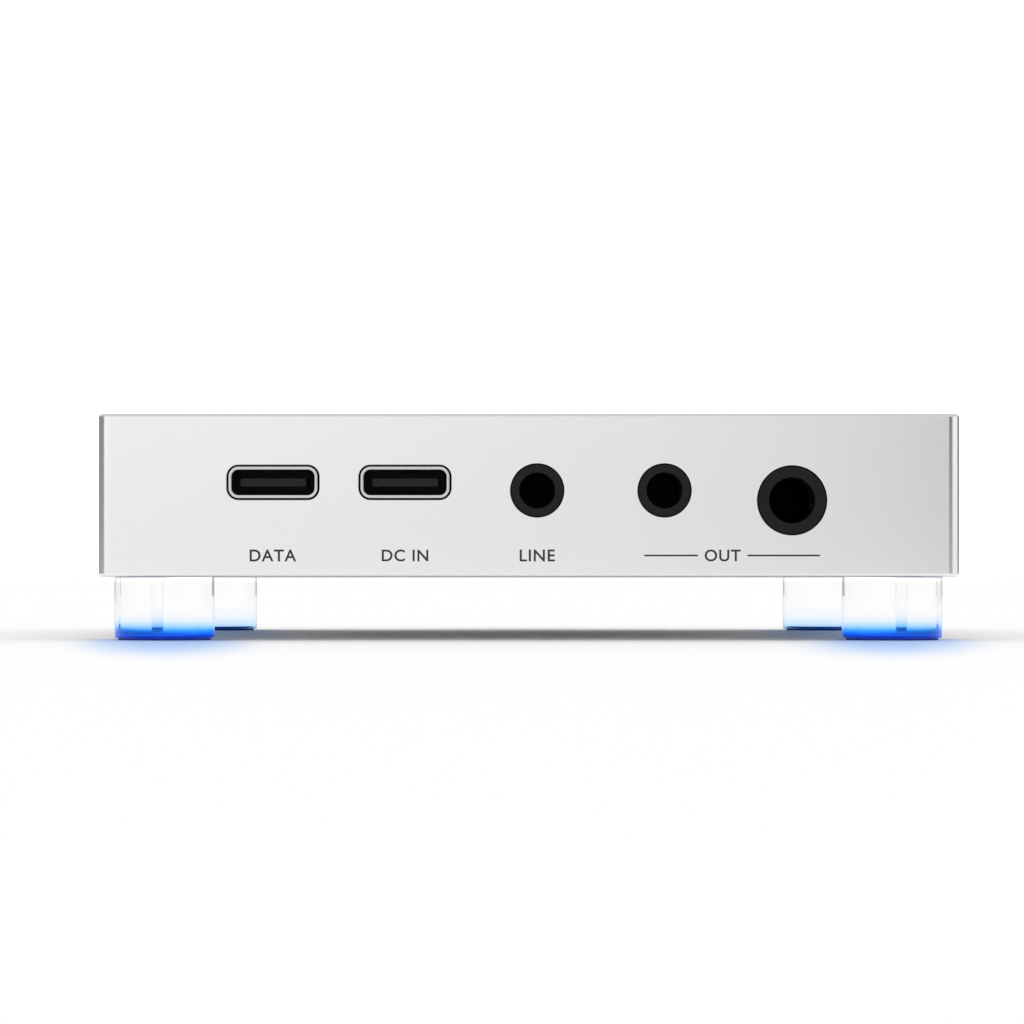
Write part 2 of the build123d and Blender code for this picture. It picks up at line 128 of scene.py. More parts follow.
@dataclass
class Solid:
    """A closed mesh while it is being shaped."""

    obj: bpy.types.Object

    @classmethod
    def block(cls, name: str, low: Vector, high: Vector) -> "Solid":
        """Adds a box.

        Args:
            name: The object's name.
            low: Its lowest corner.
            high: Its highest corner.

        Returns:
            The new solid.
        """
        bpy.ops.object.select_all(action="DESELECT")
        bpy.ops.mesh.primitive_cube_add(size=1, location=(low + high) / 2, scale=high - low)
        return cls._named(name)

    @classmethod
    def drum(cls, name: str, centre: Vector, radius: float, length: float, along: Along,
             sides: int) -> "Solid":
        """Adds a cylinder.

        Args:
            name: The object's name.
            centre: Its middle.
            radius: Its radius.
            length: Its length.
            along: The axis it lies along.
            sides: How many flats its side has.

        Returns:
            The new solid.
        """
        turn = (math.pi / 2, 0, 0) if along is Along.Y else (0, 0, 0)
        bpy.ops.object.select_all(action="DESELECT")
        bpy.ops.mesh.primitive_cylinder_add(
            vertices=sides, radius=radius, depth=length, location=centre, rotation=turn
        )
        return cls._named(name)

    @classmethod
    def _named(cls, name: str) -> "Solid":
        """Names the active object and puts its place into its mesh.

        Args:
            name: The object's name.

        Returns:
            The solid.
        """
        obj = bpy.context.object
        obj.name = name
        obj.data.name = name
        bpy.ops.object.transform_apply(location=True, rotation=True, scale=True)
        return cls(obj)

    def pick(self, element: Element, test: Test) -> None:
        """Selects what a test is true for. The mesh has to be open for editing.

        Args:
            element: Whether verts, edges or faces are tested.
            test: The test.
        """
        bpy.ops.mesh.select_mode(type=element.value)
        bpy.ops.mesh.select_all(action="DESELECT")
        mesh = bmesh.from_edit_mesh(self.obj.data)
        groups = {Element.VERT: mesh.verts, Element.EDGE: mesh.edges, Element.FACE: mesh.faces}
        for item in groups[element]:
            item.select_set(test(item))
        mesh.select_flush_mode()
        bmesh.update_edit_mesh(self.obj.data)

    def bevel(self, test: Test, width: float, segments: int) -> "Solid":
        """Rounds the edges that a test is true for.

        Args:
            test: The test on an edge.
            width: The radius.
            segments: How many strips make the round.

        Returns:
            The same solid.
        """
        with editing(self.obj):
            self.pick(Element.EDGE, test)
            bpy.ops.mesh.bevel(offset=width, offset_type="OFFSET", segments=segments, affect="EDGES")
        return self

    def inset(self, test: Test, width: float) -> "Solid":
        """Insets the faces that a test is true for.

        Args:
            test: The test on a face.
            width: How far the inset's edge is from the face's.

        Returns:
            The same solid.
        """
        with editing(self.obj):
            self.pick(Element.FACE, test)
            bpy.ops.mesh.inset(thickness=width)
        return self

    def extrude(self, test: Test, move: Vector) -> "Solid":
        """Extrudes the faces that a test is true for.

        Args:
            test: The test on a face.
            move: How far the faces go.

        Returns:
            The same solid.
        """
        with editing(self.obj):
            self.pick(Element.FACE, test)
            bpy.ops.mesh.extrude_region_move(TRANSFORM_OT_translate={"value": move})
        return self

    def resize(self, test: Test, value: Vector, centre: Vector) -> "Solid":
        """Scales the verts that a test is true for.

        Args:
            test: The test on a vert.
            value: The scale along each axis.
            centre: The point that the verts are scaled about.

        Returns:
            The same solid.
        """
        with editing(self.obj):
            self.pick(Element.VERT, test)
            bpy.ops.transform.resize(value=value, center_override=centre)
        return self

    def combine(self, other: "Solid", merge: Merge) -> "Solid":
        """Cuts another solid away, or joins it on, and removes it.

        Args:
            other: The other solid.
            merge: Whether it is cut away or joined.

        Returns:
            The same solid.
        """
        activate(self.obj)
        step = self.obj.modifiers.new("combine", "BOOLEAN")
        step.operation = merge.value
        step.solver = "EXACT"
        step.object = other.obj
        bpy.ops.object.modifier_apply(modifier=step.name)
        bpy.data.objects.remove(other.obj)
        return self

    def repeat(self, pieces: dict[str, str]) -> list["Solid"]:
        """Copies the solid, each time with its own mesh, to where each of some alike CAD nodes stands.

        Args:
            pieces: Each piece's name and its CAD node. The first is where the solid stands itself.

        Returns:
            A solid for each piece, with this one first.
        """
        names = list(pieces)
        home, *others = (sum(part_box(node), Vector()) / 2 for node in pieces.values())
        self.obj.name = self.obj.data.name = names[0]
        found = [self]
        for name, middle in zip(names[1:], others):
            activate(self.obj)
            bpy.ops.object.duplicate()
            bpy.context.object.location = middle - home
            found.append(self._named(name))
        return found

    def smooth(self, degrees: float = 40) -> "Solid":
        """Shades rounds smooth and keeps flats flat.

        Args:
            degrees: The sharpest turn that is shaded smooth.

        Returns:
            The same solid.
        """
        with editing(self.obj):
            bpy.ops.mesh.select_all(action="SELECT")
            bpy.ops.mesh.remove_doubles(threshold=WELD)
            bpy.ops.mesh.normals_make_consistent(inside=False)
        activate(self.obj)
        bpy.ops.object.shade_smooth_by_angle(angle=math.radians(degrees))
        step = self.obj.modifiers.new("even_normals", "WEIGHTED_NORMAL")
        step.keep_sharp = True
        bpy.ops.object.modifier_apply(modifier=step.name)
        return self


def facing(axis: int, sign: int) -> Test:
    """Test for a face that looks along an axis, 0 to 2, in the direction of sign."""
    return lambda face: face.normal[axis] * sign > 0.999


def facing_at(axis: int, sign: int, value: float) -> Test:
    """Test for a face that looks along an axis and lies at a value on it."""
    looks = facing(axis, sign)
    return lambda face: looks(face) and near(face.calc_center_median()[axis], value)


def parallel(axis: int) -> Test:
    """Test for an edge that runs along an axis, 0 to 2."""
    others = [k for k in range(3) if k != axis]
    return lambda edge: all(near(edge.verts[0].co[k], edge.verts[1].co[k]) for k in others)


def rim_at(axis: int, value: float) -> Test:
    """Test for a sharp edge that lies at a value on an axis.

    Args:
        axis: The axis, 0 to 2.
        value: The value on it.

    Returns:
        The test.
    """

    def test(edge: bmesh.types.BMEdge) -> bool:
        """True for an edge of the rim."""
        level = all(near(vert.co[axis], value) for vert in edge.verts)
        return level and edge.is_manifold and edge.calc_face_angle() > SHARP

    return test


def hand_over(obj: bpy.types.Object, body: str, slot: str, *nodes: str) -> None:
    """Hands a finished piece to the frame.

    Args:
        obj: The piece.
        body: The CAD body it moves with.
        slot: The record's material slot; not used.
        nodes: The CAD nodes it stands for.
    """
    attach(obj, body)
    if nodes:
        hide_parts(*nodes)
    LOG.info("%s: %d faces on %s", obj.name, len(obj.data.polygons), body)


# --- shader groups ------------------------------------------------------------------------------------
def new_group(name: str, inputs: dict[str, float], outputs: list[str]) -> Tree:
    """Makes an empty shader node group with number sockets.

    Args:
        name: The group's name.
        inputs: Each input's name and usual value.
        outputs: The outputs' names.

    Returns:
        The group, with its input node named in and its output node named out.
    """
    group = bpy.data.node_groups.new(name, "ShaderNodeTree")
    group.interface.new_socket("Vector", in_out="INPUT", socket_type="NodeSocketVector")
    for label, value in inputs.items():
        socket = group.interface.new_socket(label, in_out="INPUT", socket_type="NodeSocketFloat")
        socket.default_value = value
    for label in outputs:
        group.interface.new_socket(label, in_out="OUTPUT", socket_type="NodeSocketFloat")
    group.nodes.new("NodeGroupInput").name = "in"
    group.nodes.new("NodeGroupOutput").name = "out"
    return group


def add_math(tree: Tree, kind: str, a: float | Socket, b: float | Socket) -> Socket:
    """Adds a math node.

    Args:
        tree: The material's, world's or group's nodes.
        kind: What the node does.
        a: Its first number, or the socket that gives it.
        b: Its second number, or the socket that gives it.

    Returns:
        The node's output.
    """
    node = tree.nodes.new("ShaderNodeMath")
    node.operation = kind
    for socket, value in zip(node.inputs, (a, b)):
        if isinstance(value, (int, float)):
            socket.default_value = value
        else:
            tree.links.new(value, socket)
    return node.outputs[0]


def place_group(tree: Tree, group: str, place: Socket, **values: float) -> bpy.types.Node:
    """Places a shared group in a material with its own values.

    Args:
        tree: The material's nodes.
        group: The group's name.
        place: The coordinates that the pattern follows.
        values: The group's numbers, by name.

    Returns:
        The group's node.
    """
    node = tree.nodes.new("ShaderNodeGroup")
    node.node_tree = bpy.data.node_groups[group]
    tree.links.new(place, node.inputs["Vector"])
    for label, value in values.items():
        node.inputs[label].default_value = value
    return node


def colour_ramp(tree: Tree, amount: Socket, stops: list[tuple[float, Colour]]) -> Socket:
    """Adds a ramp of colours.

    Args:
        tree: The material's nodes.
        amount: The number that picks the colour.
        stops: Each stop's number and colour.

    Returns:
        The colour's socket.
    """
    ramp = tree.nodes.new("ShaderNodeValToRGB")
    marks = ramp.color_ramp.elements
    while len(marks) < len(stops):
        marks.new(0.5)
    for mark, (at, colour) in zip(marks, stops):
        mark.position = at
        mark.color = (*colour, 1)
    tree.links.new(amount, ramp.inputs["Fac"])
    return ramp.outputs["Color"]


def grain_group() -> Tree:
    """Fine blasted or moulded texture, with a slow unevenness under it.

    Returns:
        A group with inputs Vector, Grains per metre and Patches per metre, and outputs Height and Patch.
    """
    group = new_group("fine_grain", {"Grains": 9000.0, "Patches": 60.0}, ["Height", "Patch"])
    start, end = group.nodes["in"], group.nodes["out"]
    for source, target, detail in (("Grains", "Height", 3.0), ("Patches", "Patch", 5.0)):
        noise = group.nodes.new("ShaderNodeTexNoise")
        noise.inputs["Detail"].default_value = detail
        group.links.new(start.outputs["Vector"], noise.inputs["Vector"])
        group.links.new(start.outputs[source], noise.inputs["Scale"])
        group.links.new(noise.outputs["Fac"], end.inputs[target])
    return group


def scratch_group() -> Tree:
    """Thin scattered rub marks.

    Returns:
        A group with inputs Vector, Marks per metre and Amount, and output Mask.
    """
    group = new_group("rub_marks", {"Marks": 300.0, "Amount": 0.5}, ["Mask"])
    start, end = group.nodes["in"], group.nodes["out"]
    stretch = group.nodes.new("ShaderNodeMapping")
    stretch.inputs["Scale"].default_value = (1.0, 0.3, 6.0)
    stretch.inputs["Rotation"].default_value = (0.2, 0.4, 0.3)
    noise = group.nodes.new("ShaderNodeTexNoise")
    noise.inputs["Detail"].default_value = 2.0
    group.links.new(start.outputs["Vector"], stretch.inputs["Vector"])
    group.links.new(stretch.outputs["Vector"], noise.inputs["Vector"])
    group.links.new(start.outputs["Marks"], noise.inputs["Scale"])
    threshold, steepness = 0.62, 9.0
    above = add_math(group, "SUBTRACT", noise.outputs["Fac"], threshold)
    held = add_math(group, "MAXIMUM", add_math(group, "MULTIPLY", above, steepness), 0.0)
    group.links.new(add_math(group, "MULTIPLY", held, start.outputs["Amount"]), end.inputs["Mask"])
    return group


# --- finishes -----------------------------------------------------------------------------------------
class Look(Enum):
    """The finishes, each with its material's name."""

    BLASTED_ALUMINIUM = "blasted_aluminium"
    PLATE_ALUMINIUM = "plate_aluminium"
    TURNED_ALUMINIUM = "turned_aluminium"
    LABEL_INK = "label_ink"
    DRAWN_STEEL = "drawn_steel"
    ZINC_STEEL = "zinc_steel"
    NICKEL = "nickel"
    GOLD_FLASH = "gold_flash"
    SOCKET_PLASTIC = "socket_plastic"
    JACK_PLASTIC = "jack_plastic"
    ENCODER_PLASTIC = "encoder_plastic"
    PAD_RUBBER = "pad_rubber"
    CHIP_EPOXY = "chip_epoxy"
    PRESSED_FERRITE = "pressed_ferrite"
    TINNED_STEEL = "tinned_steel"
    CAN_ALUMINIUM = "can_aluminium"
    SOLDER_MASK = "solder_mask"
    LED_LENS = "led_lens"
    CLEAR_ACRYLIC = "clear_acrylic"
    DIM_ACRYLIC = "dim_acrylic"


PATCH_SPAN = (0.3, 0.7)


@dataclass(frozen=True)
class Finish:
    """A solid surface with a grain, an uneven tone and faint rub marks.

    The colour runs from colour to shade, and the roughness from rough_low to rough_high, over slow
    patches. Grains, patches and marks are counts per metre, and depth is the grain's height.
    """

    look: Look
    colour: Colour
    shade: Colour
    metallic: float = 0.0
    rough_low: float = 0.4
    rough_high: float = 0.5
    grains: float = 9000.0
    patches: float = 60.0
    depth: float = 0.004 * MM
    bump: float = 0.3
    marks: float = 300.0
    mark_amount: float = 0.15
    mark_rough: float = 0.1
    coat: float = 0.0
    specular: float = 0.5

    def build(self) -> bpy.types.Material:
        """Makes the material.

        Returns:
            The material.
        """
        material = bpy.data.materials.new(self.look.value)
        material.use_nodes = True
        tree = material.node_tree
        shader = tree.nodes["Principled BSDF"]
        shader.inputs["Metallic"].default_value = self.metallic
        shader.inputs["Coat Weight"].default_value = self.coat
        shader.inputs["Specular IOR Level"].default_value = self.specular
        place = tree.nodes.new("ShaderNodeTexCoord").outputs["Object"]
        grain = place_group(tree, "fine_grain", place, Grains=self.grains, Patches=self.patches)
        marks = place_group(tree, "rub_marks", place, Marks=self.marks, Amount=self.mark_amount)
        colour = self._colour(tree, grain.outputs["Patch"], place)
        tree.links.new(colour, shader.inputs["Base Color"])
        rough = tree.nodes.new("ShaderNodeMapRange")
        rough.inputs["From Min"].default_value, rough.inputs["From Max"].default_value = PATCH_SPAN
        rough.inputs["To Min"].default_value = self.rough_low
        rough.inputs["To Max"].default_value = self.rough_high
        tree.links.new(grain.outputs["Patch"], rough.inputs["Value"])
        rubbed = add_math(tree, "MULTIPLY", marks.outputs["Mask"], self.mark_rough)
        tree.links.new(add_math(tree, "ADD", rough.outputs["Result"], rubbed), shader.inputs["Roughness"])
        bump = tree.nodes.new("ShaderNodeBump")
        bump.inputs["Strength"].default_value = self.bump
        bump.inputs["Distance"].default_value = self.depth
        tree.links.new(self._height(tree, grain.outputs["Height"], place), bump.inputs["Height"])
        tree.links.new(bump.outputs["Normal"], shader.inputs["Normal"])
        return material

    def _colour(self, tree: Tree, patch: Socket, place: Socket) -> Socket:
        """The surface's colour, which runs from colour to shade over the patches."""
        return colour_ramp(tree, patch, list(zip(PATCH_SPAN, (self.colour, self.shade))))

    def _height(self, tree: Tree, grain: Socket, place: Socket) -> Socket:
        """The height that makes the bump: the grain alone."""
        return grain


@dataclass(frozen=True)
class Turned(Finish):
    """A finish with the fine rings that a lathe leaves, about an axis along Y through centre."""

    centre: tuple[float, float, float] = (0.0, 0.0, 0.0)
    rings: float = 2500.0

    def _height(self, tree: Tree, grain: Socket, place: Socket) -> Socket:
        """The grain and the lathe's rings together.

        Args:
            tree: The material's nodes.
            grain: The grain's height.
            place: The Object coordinates.

        Returns:
            The height.
        """
        shift = tree.nodes.new("ShaderNodeMapping")
        shift.inputs["Location"].default_value = -Vector(self.centre)
        wave = tree.nodes.new("ShaderNodeTexWave")
        wave.wave_type = "RINGS"
        wave.rings_direction = "Y"
        wave.inputs["Scale"].default_value = self.rings
        tree.links.new(place, shift.inputs["Vector"])
        tree.links.new(shift.outputs["Vector"], wave.inputs["Vector"])
        return add_math(tree, "ADD", wave.outputs["Fac"], grain)


@dataclass(frozen=True)
class SolderMask(Finish):
    """A circuit board's lacquer, with copper tracks that show through as paler raised lines."""

    track: Colour = (0.04, 0.13, 0.1)
    pitch: float = 420.0
    width: float = 0.03
    grain: float = 0.2

    def _tracks(self, tree: Tree, place: Socket) -> Socket:
        """Mask of the tracks.

        Args:
            tree: The material's nodes.
            place: The Object coordinates.

        Returns:
            The mask.
        """
        bricks = tree.nodes.new("ShaderNodeTexBrick")
        bricks.inputs["Scale"].default_value = self.pitch
        bricks.inputs["Mortar Size"].default_value = self.width
        tree.links.new(place, bricks.inputs["Vector"])
        return bricks.outputs["Fac"]

    def _colour(self, tree: Tree, patch: Socket, place: Socket) -> Socket:
        """The lacquer's colour with the tracks' over it."""
        return colour_ramp(tree, self._tracks(tree, place), [(0.0, self.colour), (1.0, self.track)])

    def _height(self, tree: Tree, grain: Socket, place: Socket) -> Socket:
        """The grain with the tracks raised above it."""
        return add_math(tree, "ADD", self._tracks(tree, place), add_math(tree, "MULTIPLY", grain, self.grain))


@dataclass(frozen=True)
class Band:
    """A height above the floor, with the blue of the glow painted into the acrylic's colour there, and the
    light given off there.
    """

    height: float
    painted_glow_tint: Colour
    light: Colour


@dataclass(frozen=True)
class LightGuide:
    """Clear acrylic that carries coloured light, strongest near the floor. The glow's blue is also painted
    into its colour.

    The light given off isn't mirrored in the metal round it.
    """

    look: Look = Look.CLEAR_ACRYLIC
    top: float = 3.2 * MM
    bands: tuple[Band, ...] = (
        Band(0.00 * MM, (0.00, 0.01, 0.30), (0.000, 0.008, 0.200)),
        Band(0.60 * MM, (0.00, 0.07, 0.66), (0.000, 0.040, 0.380)),
        Band(1.00 * MM, (0.04, 0.32, 0.90), (0.000, 0.095, 0.450)),
        Band(1.40 * MM, (0.38, 0.66, 0.99), (0.004, 0.060, 0.260)),
        Band(1.90 * MM, (0.78, 0.89, 1.00), (0.004, 0.014, 0.060)),
        Band(2.50 * MM, (0.95, 0.97, 1.00), (0.001, 0.003, 0.010)),
        Band(3.20 * MM, (0.99, 0.99, 1.00), (0.000, 0.000, 0.000)),
    )
    glow: float = 1.0
    index: float = 1.49
    shine: Colour = (0.3, 0.55, 1.0)
    roughness: float = 0.02

    def build(self) -> bpy.types.Material:
        """Makes the material.

        Returns:
            The material.
        """
        material = bpy.data.materials.new(self.look.value)
        material.use_nodes = True
        tree = material.node_tree
        shader = tree.nodes["Principled BSDF"]
        shader.inputs["Transmission Weight"].default_value = 1.0
        shader.inputs["IOR"].default_value = self.index
        shader.inputs["Specular Tint"].default_value = (*self.shine, 1)
        place = tree.nodes.new("ShaderNodeTexCoord").outputs["Object"]
        split = tree.nodes.new("ShaderNodeSeparateXYZ")
        tree.links.new(place, split.inputs["Vector"])
        height = add_math(tree, "DIVIDE", split.outputs["Z"], self.top)
        painted_glow_tints = [(band.height / self.top, band.painted_glow_tint) for band in self.bands]
        lights = [(band.height / self.top, band.light) for band in self.bands]
        # painted light: the base colour turns blue towards the floor and stands for the glow
        tree.links.new(colour_ramp(tree, height, painted_glow_tints), shader.inputs["Base Color"])
        tree.links.new(colour_ramp(tree, height, lights), shader.inputs["Emission Color"])
        mirrored = tree.nodes.new("ShaderNodeLightPath").outputs["Is Glossy Ray"]
        direct = add_math(tree, "SUBTRACT", 1.0, mirrored)
        tree.links.new(add_math(tree, "MULTIPLY", direct, self.glow), shader.inputs["Emission Strength"])
        polish = place_group(tree, "fine_grain", place, Grains=2500.0, Patches=150.0)
        rough = add_math(tree, "MULTIPLY", polish.outputs["Patch"], self.roughness)
        tree.links.new(rough, shader.inputs["Roughness"])
        return material


@dataclass(frozen=True)
class Lens:
    """Diffuse lens of a lit indicator."""

    look: Look
    colour: Colour
    light: Colour
    glow: float

    def build(self) -> bpy.types.Material:
        """Makes the material.

        Returns:
            The material.
        """
        shade = tuple(0.9 * part for part in self.colour)
        material = Finish(self.look, self.colour, shade, grains=4000.0).build()
        shader = material.node_tree.nodes["Principled BSDF"]
        shader.inputs["Emission Color"].default_value = (*self.light, 1)
        shader.inputs["Emission Strength"].default_value = self.glow
        return material


@dataclass
class Palette:
    """Every material, made once and asked for by its look."""

    knob_centre: tuple[float, float, float]
    made: dict[Look, bpy.types.Material] = field(default_factory=dict)

    def finishes(self) -> list[Finish | LightGuide | Lens]:
        """All the finishes.

        Returns:
            Objects that each build one material.
        """
        return [
            Finish(Look.BLASTED_ALUMINIUM, (0.95, 0.95, 0.95), (0.94, 0.94, 0.94), metallic=1.0,
                   rough_low=0.19, rough_high=0.21, grains=7000.0, patches=35.0, bump=0.06, mark_amount=0.04),
            Finish(Look.PLATE_ALUMINIUM, (0.84, 0.84, 0.85), (0.8, 0.8, 0.81), metallic=1.0,
                   rough_low=0.34, rough_high=0.42, grains=6000.0, mark_amount=0.3),
            Turned(Look.TURNED_ALUMINIUM, (0.84, 0.84, 0.845), (0.8, 0.8, 0.805), metallic=1.0,
                   rough_low=0.2, rough_high=0.28, mark_amount=0.1, centre=self.knob_centre),
            Finish(Look.LABEL_INK, (0.014, 0.014, 0.015), (0.02, 0.02, 0.021), rough_low=0.5,
                   rough_high=0.65),
            Finish(Look.DRAWN_STEEL, (0.72, 0.72, 0.73), (0.66, 0.66, 0.67), metallic=1.0,
                   rough_low=0.18, rough_high=0.28, mark_amount=0.4),
            Finish(Look.ZINC_STEEL, (0.5, 0.5, 0.53), (0.42, 0.42, 0.45), metallic=1.0,
                   rough_low=0.3, rough_high=0.42, patches=400.0, mark_amount=0.5),
            Finish(Look.NICKEL, (0.66, 0.63, 0.58), (0.6, 0.57, 0.52), metallic=1.0,
                   rough_low=0.2, rough_high=0.3, patches=200.0, mark_amount=0.3),
            Finish(Look.GOLD_FLASH, (0.95, 0.68, 0.3), (0.88, 0.6, 0.25), metallic=1.0,
                   rough_low=0.18, rough_high=0.26, patches=500.0),
            Finish(Look.SOCKET_PLASTIC, (0.012, 0.012, 0.012), (0.015, 0.015, 0.015), rough_low=0.5,
                   rough_high=0.6, grains=14000.0, bump=0.3, specular=0.2),
            Finish(Look.JACK_PLASTIC, (0.008, 0.008, 0.0085), (0.011, 0.011, 0.0115), rough_low=0.5,
                   rough_high=0.65, grains=12000.0, bump=0.4, specular=0.16),
            Finish(Look.ENCODER_PLASTIC, (0.03, 0.03, 0.032), (0.04, 0.04, 0.042), rough_low=0.4,
                   rough_high=0.5),
            Finish(Look.PAD_RUBBER, (0.01, 0.05, 0.42), (0.008, 0.035, 0.32), rough_low=0.6, rough_high=0.8,
                   grains=6000.0, bump=0.8),
            Finish(Look.CHIP_EPOXY, (0.018, 0.018, 0.019), (0.03, 0.03, 0.031), rough_low=0.55,
                   rough_high=0.7, bump=0.8),
            Finish(Look.PRESSED_FERRITE, (0.06, 0.06, 0.065), (0.1, 0.1, 0.105), rough_low=0.6,
                   rough_high=0.75, grains=3000.0, bump=0.9),
            Finish(Look.TINNED_STEEL, (0.66, 0.66, 0.64), (0.58, 0.58, 0.56), metallic=1.0, rough_low=0.25,
                   rough_high=0.4, patches=250.0, mark_amount=0.4),
            Finish(Look.CAN_ALUMINIUM, (0.75, 0.75, 0.77), (0.68, 0.68, 0.7), metallic=1.0, rough_low=0.25,
                   rough_high=0.35, patches=300.0),
            SolderMask(Look.SOLDER_MASK, (0.006, 0.03, 0.024), (0.01, 0.04, 0.03), rough_low=0.25,
                       rough_high=0.35, coat=0.3),
            Lens(Look.LED_LENS, (0.8, 0.86, 1.0), (0.03, 0.15, 1.0), 0.1),
            LightGuide(),
            # painted light: a dimmer copy of the same acrylic for the rear feet, with weaker blue painted in
            LightGuide(Look.DIM_ACRYLIC, bands=(
                Band(0.00 * MM, (0.02, 0.04, 0.22), (0.000, 0.004, 0.030)),
                Band(0.28 * MM, (0.25, 0.50, 0.90), (0.000, 0.020, 0.060)),
                Band(0.80 * MM, (0.62, 0.82, 1.00), (0.000, 0.010, 0.030)),
                Band(1.60 * MM, (0.88, 0.94, 1.00), (0.000, 0.003, 0.010)),
                Band(3.20 * MM, (0.99, 0.99, 1.00), (0.000, 0.000, 0.000)),
            )),
        ]

    def make(self) -> "Palette":
        """Builds the shared groups and every material.

        Returns:
            The same palette.
        """
        grain_group()
        scratch_group()
        for finish in self.finishes():
            self.made[finish.look] = finish.build()
        return self

    def dress(self, obj: bpy.types.Object, look: Look) -> None:
        """Gives an object one material.

        Args:
            obj: The object.
            look: The material's look.
        """
        obj.data.materials.clear()
        obj.data.materials.append(self.made[look])


# --- case ---------------------------------------------------------------------------------------------
@dataclass
class CaseShell:
    """One-piece aluminium top and walls, with its port openings and bosses."""

    wall: float = 1.8 * MM
    top_wall: float = 1.6 * MM
    plate: float = 1.5 * MM
    corner: float = 1.2 * MM
    edge: float = 0.35 * MM
    gap: float = 0.1 * MM
    usb_gap: float = 0.18 * MM
    chamfer: float = 0.08 * MM
    boss: float = 3.0 * MM
    board_boss: float = 2.5 * MM
    board_boss_height: float = 2.04 * MM
    plate_thread: tuple[float, float] = (1.25 * MM, 6.5 * MM)
    board_thread: tuple[float, float] = (1.0 * MM, 2.54 * MM)
    print_room: float = 0.01 * MM
    overlap: float = MM
    low: Vector = field(default_factory=lambda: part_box("case_shell")[0])
    high: Vector = field(default_factory=lambda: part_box("case_shell")[1])

    def build(self, palette: Palette) -> None:
        """Builds the shell and hands it to the frame.

        Its front is set back by the labels' thickness, so that the print stays inside the CAD's box.

        Args:
            palette: The materials.
        """
        self.low = self.low + Vector((0, self.print_room, 0))
        shell = self._outside()
        shell.combine(self._room(), Merge.CUT)
        self._plate_bosses(shell)
        self._board_bosses(shell)
        self._openings(shell)
        shell.smooth()
        palette.dress(shell.obj, Look.BLASTED_ALUMINIUM)
        hand_over(shell.obj, CHASSIS, "case_aluminium", "case_shell")

    def _outside(self) -> Solid:
        """Makes the block with its upright corners and its top and bottom rims rounded.

        Returns:
            The block.
        """
        shell = Solid.block("case_skin", self.low, self.high)
        shell.bevel(parallel(2), self.corner, 14)
        for level in (self.high.z, self.low.z):
            shell.bevel(rim_at(2, level), self.edge, 6)
        return shell

    def _room(self) -> Solid:
        """Makes the space inside.

        Returns:
            The space, which reaches out below.
        """
        inset = Vector((self.wall, self.wall, 0))
        drop = Vector((0, 0, self.overlap))
        roof = Vector((0, 0, self.top_wall))
        return Solid.block("room", self.low + inset - drop, self.high - inset - roof)

    def _plate_bosses(self, shell: Solid) -> None:
        """Adds the posts for the plate's screws, each joined to its side wall.

        Args:
            shell: The case.
        """
        for low, high in split_boxes("plate_screws"):
            x, y = (low.x + high.x) / 2, (low.y + high.y) / 2
            side = 1 if x > 0 else -1
            floor, roof = self.low.z + self.plate, self.high.z - self.top_wall / 2
            wall_x = side * (self.high.x - self.wall / 2)
            web = Solid.block(
                "web",
                Vector((min(x, wall_x), y - self.boss, floor)),
                Vector((max(x, wall_x), y + self.boss, roof)),
            )
            middle = Vector((x, y, (floor + roof) / 2))
            post = Solid.drum("boss", middle, self.boss, roof - floor, Along.Z, 48)
            shell.combine(post, Merge.JOIN).combine(web, Merge.JOIN)
            radius, depth = self.plate_thread
            centre = Vector((x, y, floor + (depth - self.overlap) / 2))
            cut = Solid.drum("thread", centre, radius, depth + self.overlap, Along.Z, 40)
            shell.combine(cut, Merge.CUT)

    def _board_bosses(self, shell: Solid) -> None:
        """Adds the posts that the board hangs from.

        Args:
            shell: The case.
        """
        ceiling = self.high.z - self.top_wall
        start = ceiling - self.board_boss_height
        for low, high in split_boxes("pcb_screws"):
            x, y = (low.x + high.x) / 2, (low.y + high.y) / 2
            end = ceiling + self.top_wall / 2
            middle = Vector((x, y, (start + end) / 2))
            post = Solid.drum("post", middle, self.board_boss, end - start, Along.Z, 48)
            shell.combine(post, Merge.JOIN)
            radius, depth = self.board_thread
            centre = Vector((x, y, start + (depth - self.overlap) / 2))
            cut = Solid.drum("tap", centre, radius, depth + self.overlap, Along.Z, 32)
            shell.combine(cut, Merge.CUT)

    def _openings(self, shell: Solid) -> None:
        """Cuts the ports' and the bushing's holes and eases the ports' edges.

        Args:
            shell: The case.
        """
        reach = Vector((0, self.overlap, 0))
        deep = Vector((0, self.wall + self.overlap, 0))
        through = self.wall + 2 * self.overlap
        for name in ("data_port_shell", "power_port_shell"):
            low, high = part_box(name)
            grow = Vector((self.usb_gap, 0, self.usb_gap))
            start = low - grow - reach
            end = Vector((high.x, low.y, high.z)) + grow + deep
            cut = Solid.block("slot", start, end).bevel(parallel(1), UsbSockets.corner + self.usb_gap, 12)
            shell.combine(cut, Merge.CUT)
        for jack in Jack.from_mounts():
            centre = Vector((jack.x, self.low.y + self.wall / 2, jack.z))
            cut = Solid.drum("hole", centre, jack.nose + self.gap, through, Along.Y, 96)
            shell.combine(cut, Merge.CUT)
        low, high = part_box("encoder_bushing")
        centre = Vector(((low.x + high.x) / 2, self.high.y - self.wall / 2, (low.z + high.z) / 2))
        radius = (high.x - low.x) / 2 + self.gap
        shell.combine(Solid.drum("hole", centre, radius, through, Along.Y, 64), Merge.CUT)
        shell.bevel(self._port_edge, self.chamfer, 3)

    def _port_edge(self, edge: bmesh.types.BMEdge) -> bool:
        """Tests for a sharp edge of the front face, inside its outline.

        Args:
            edge: The edge.

        Returns:
            True for a port's edge.
        """
        inside = all(abs(v.co.x) < self.high.x - 2 * self.corner for v in edge.verts)
        within = all(self.low.z + 2 * self.edge < v.co.z < self.high.z - 2 * self.edge for v in edge.verts)
        return inside and within and rim_at(1, self.low.y)(edge)


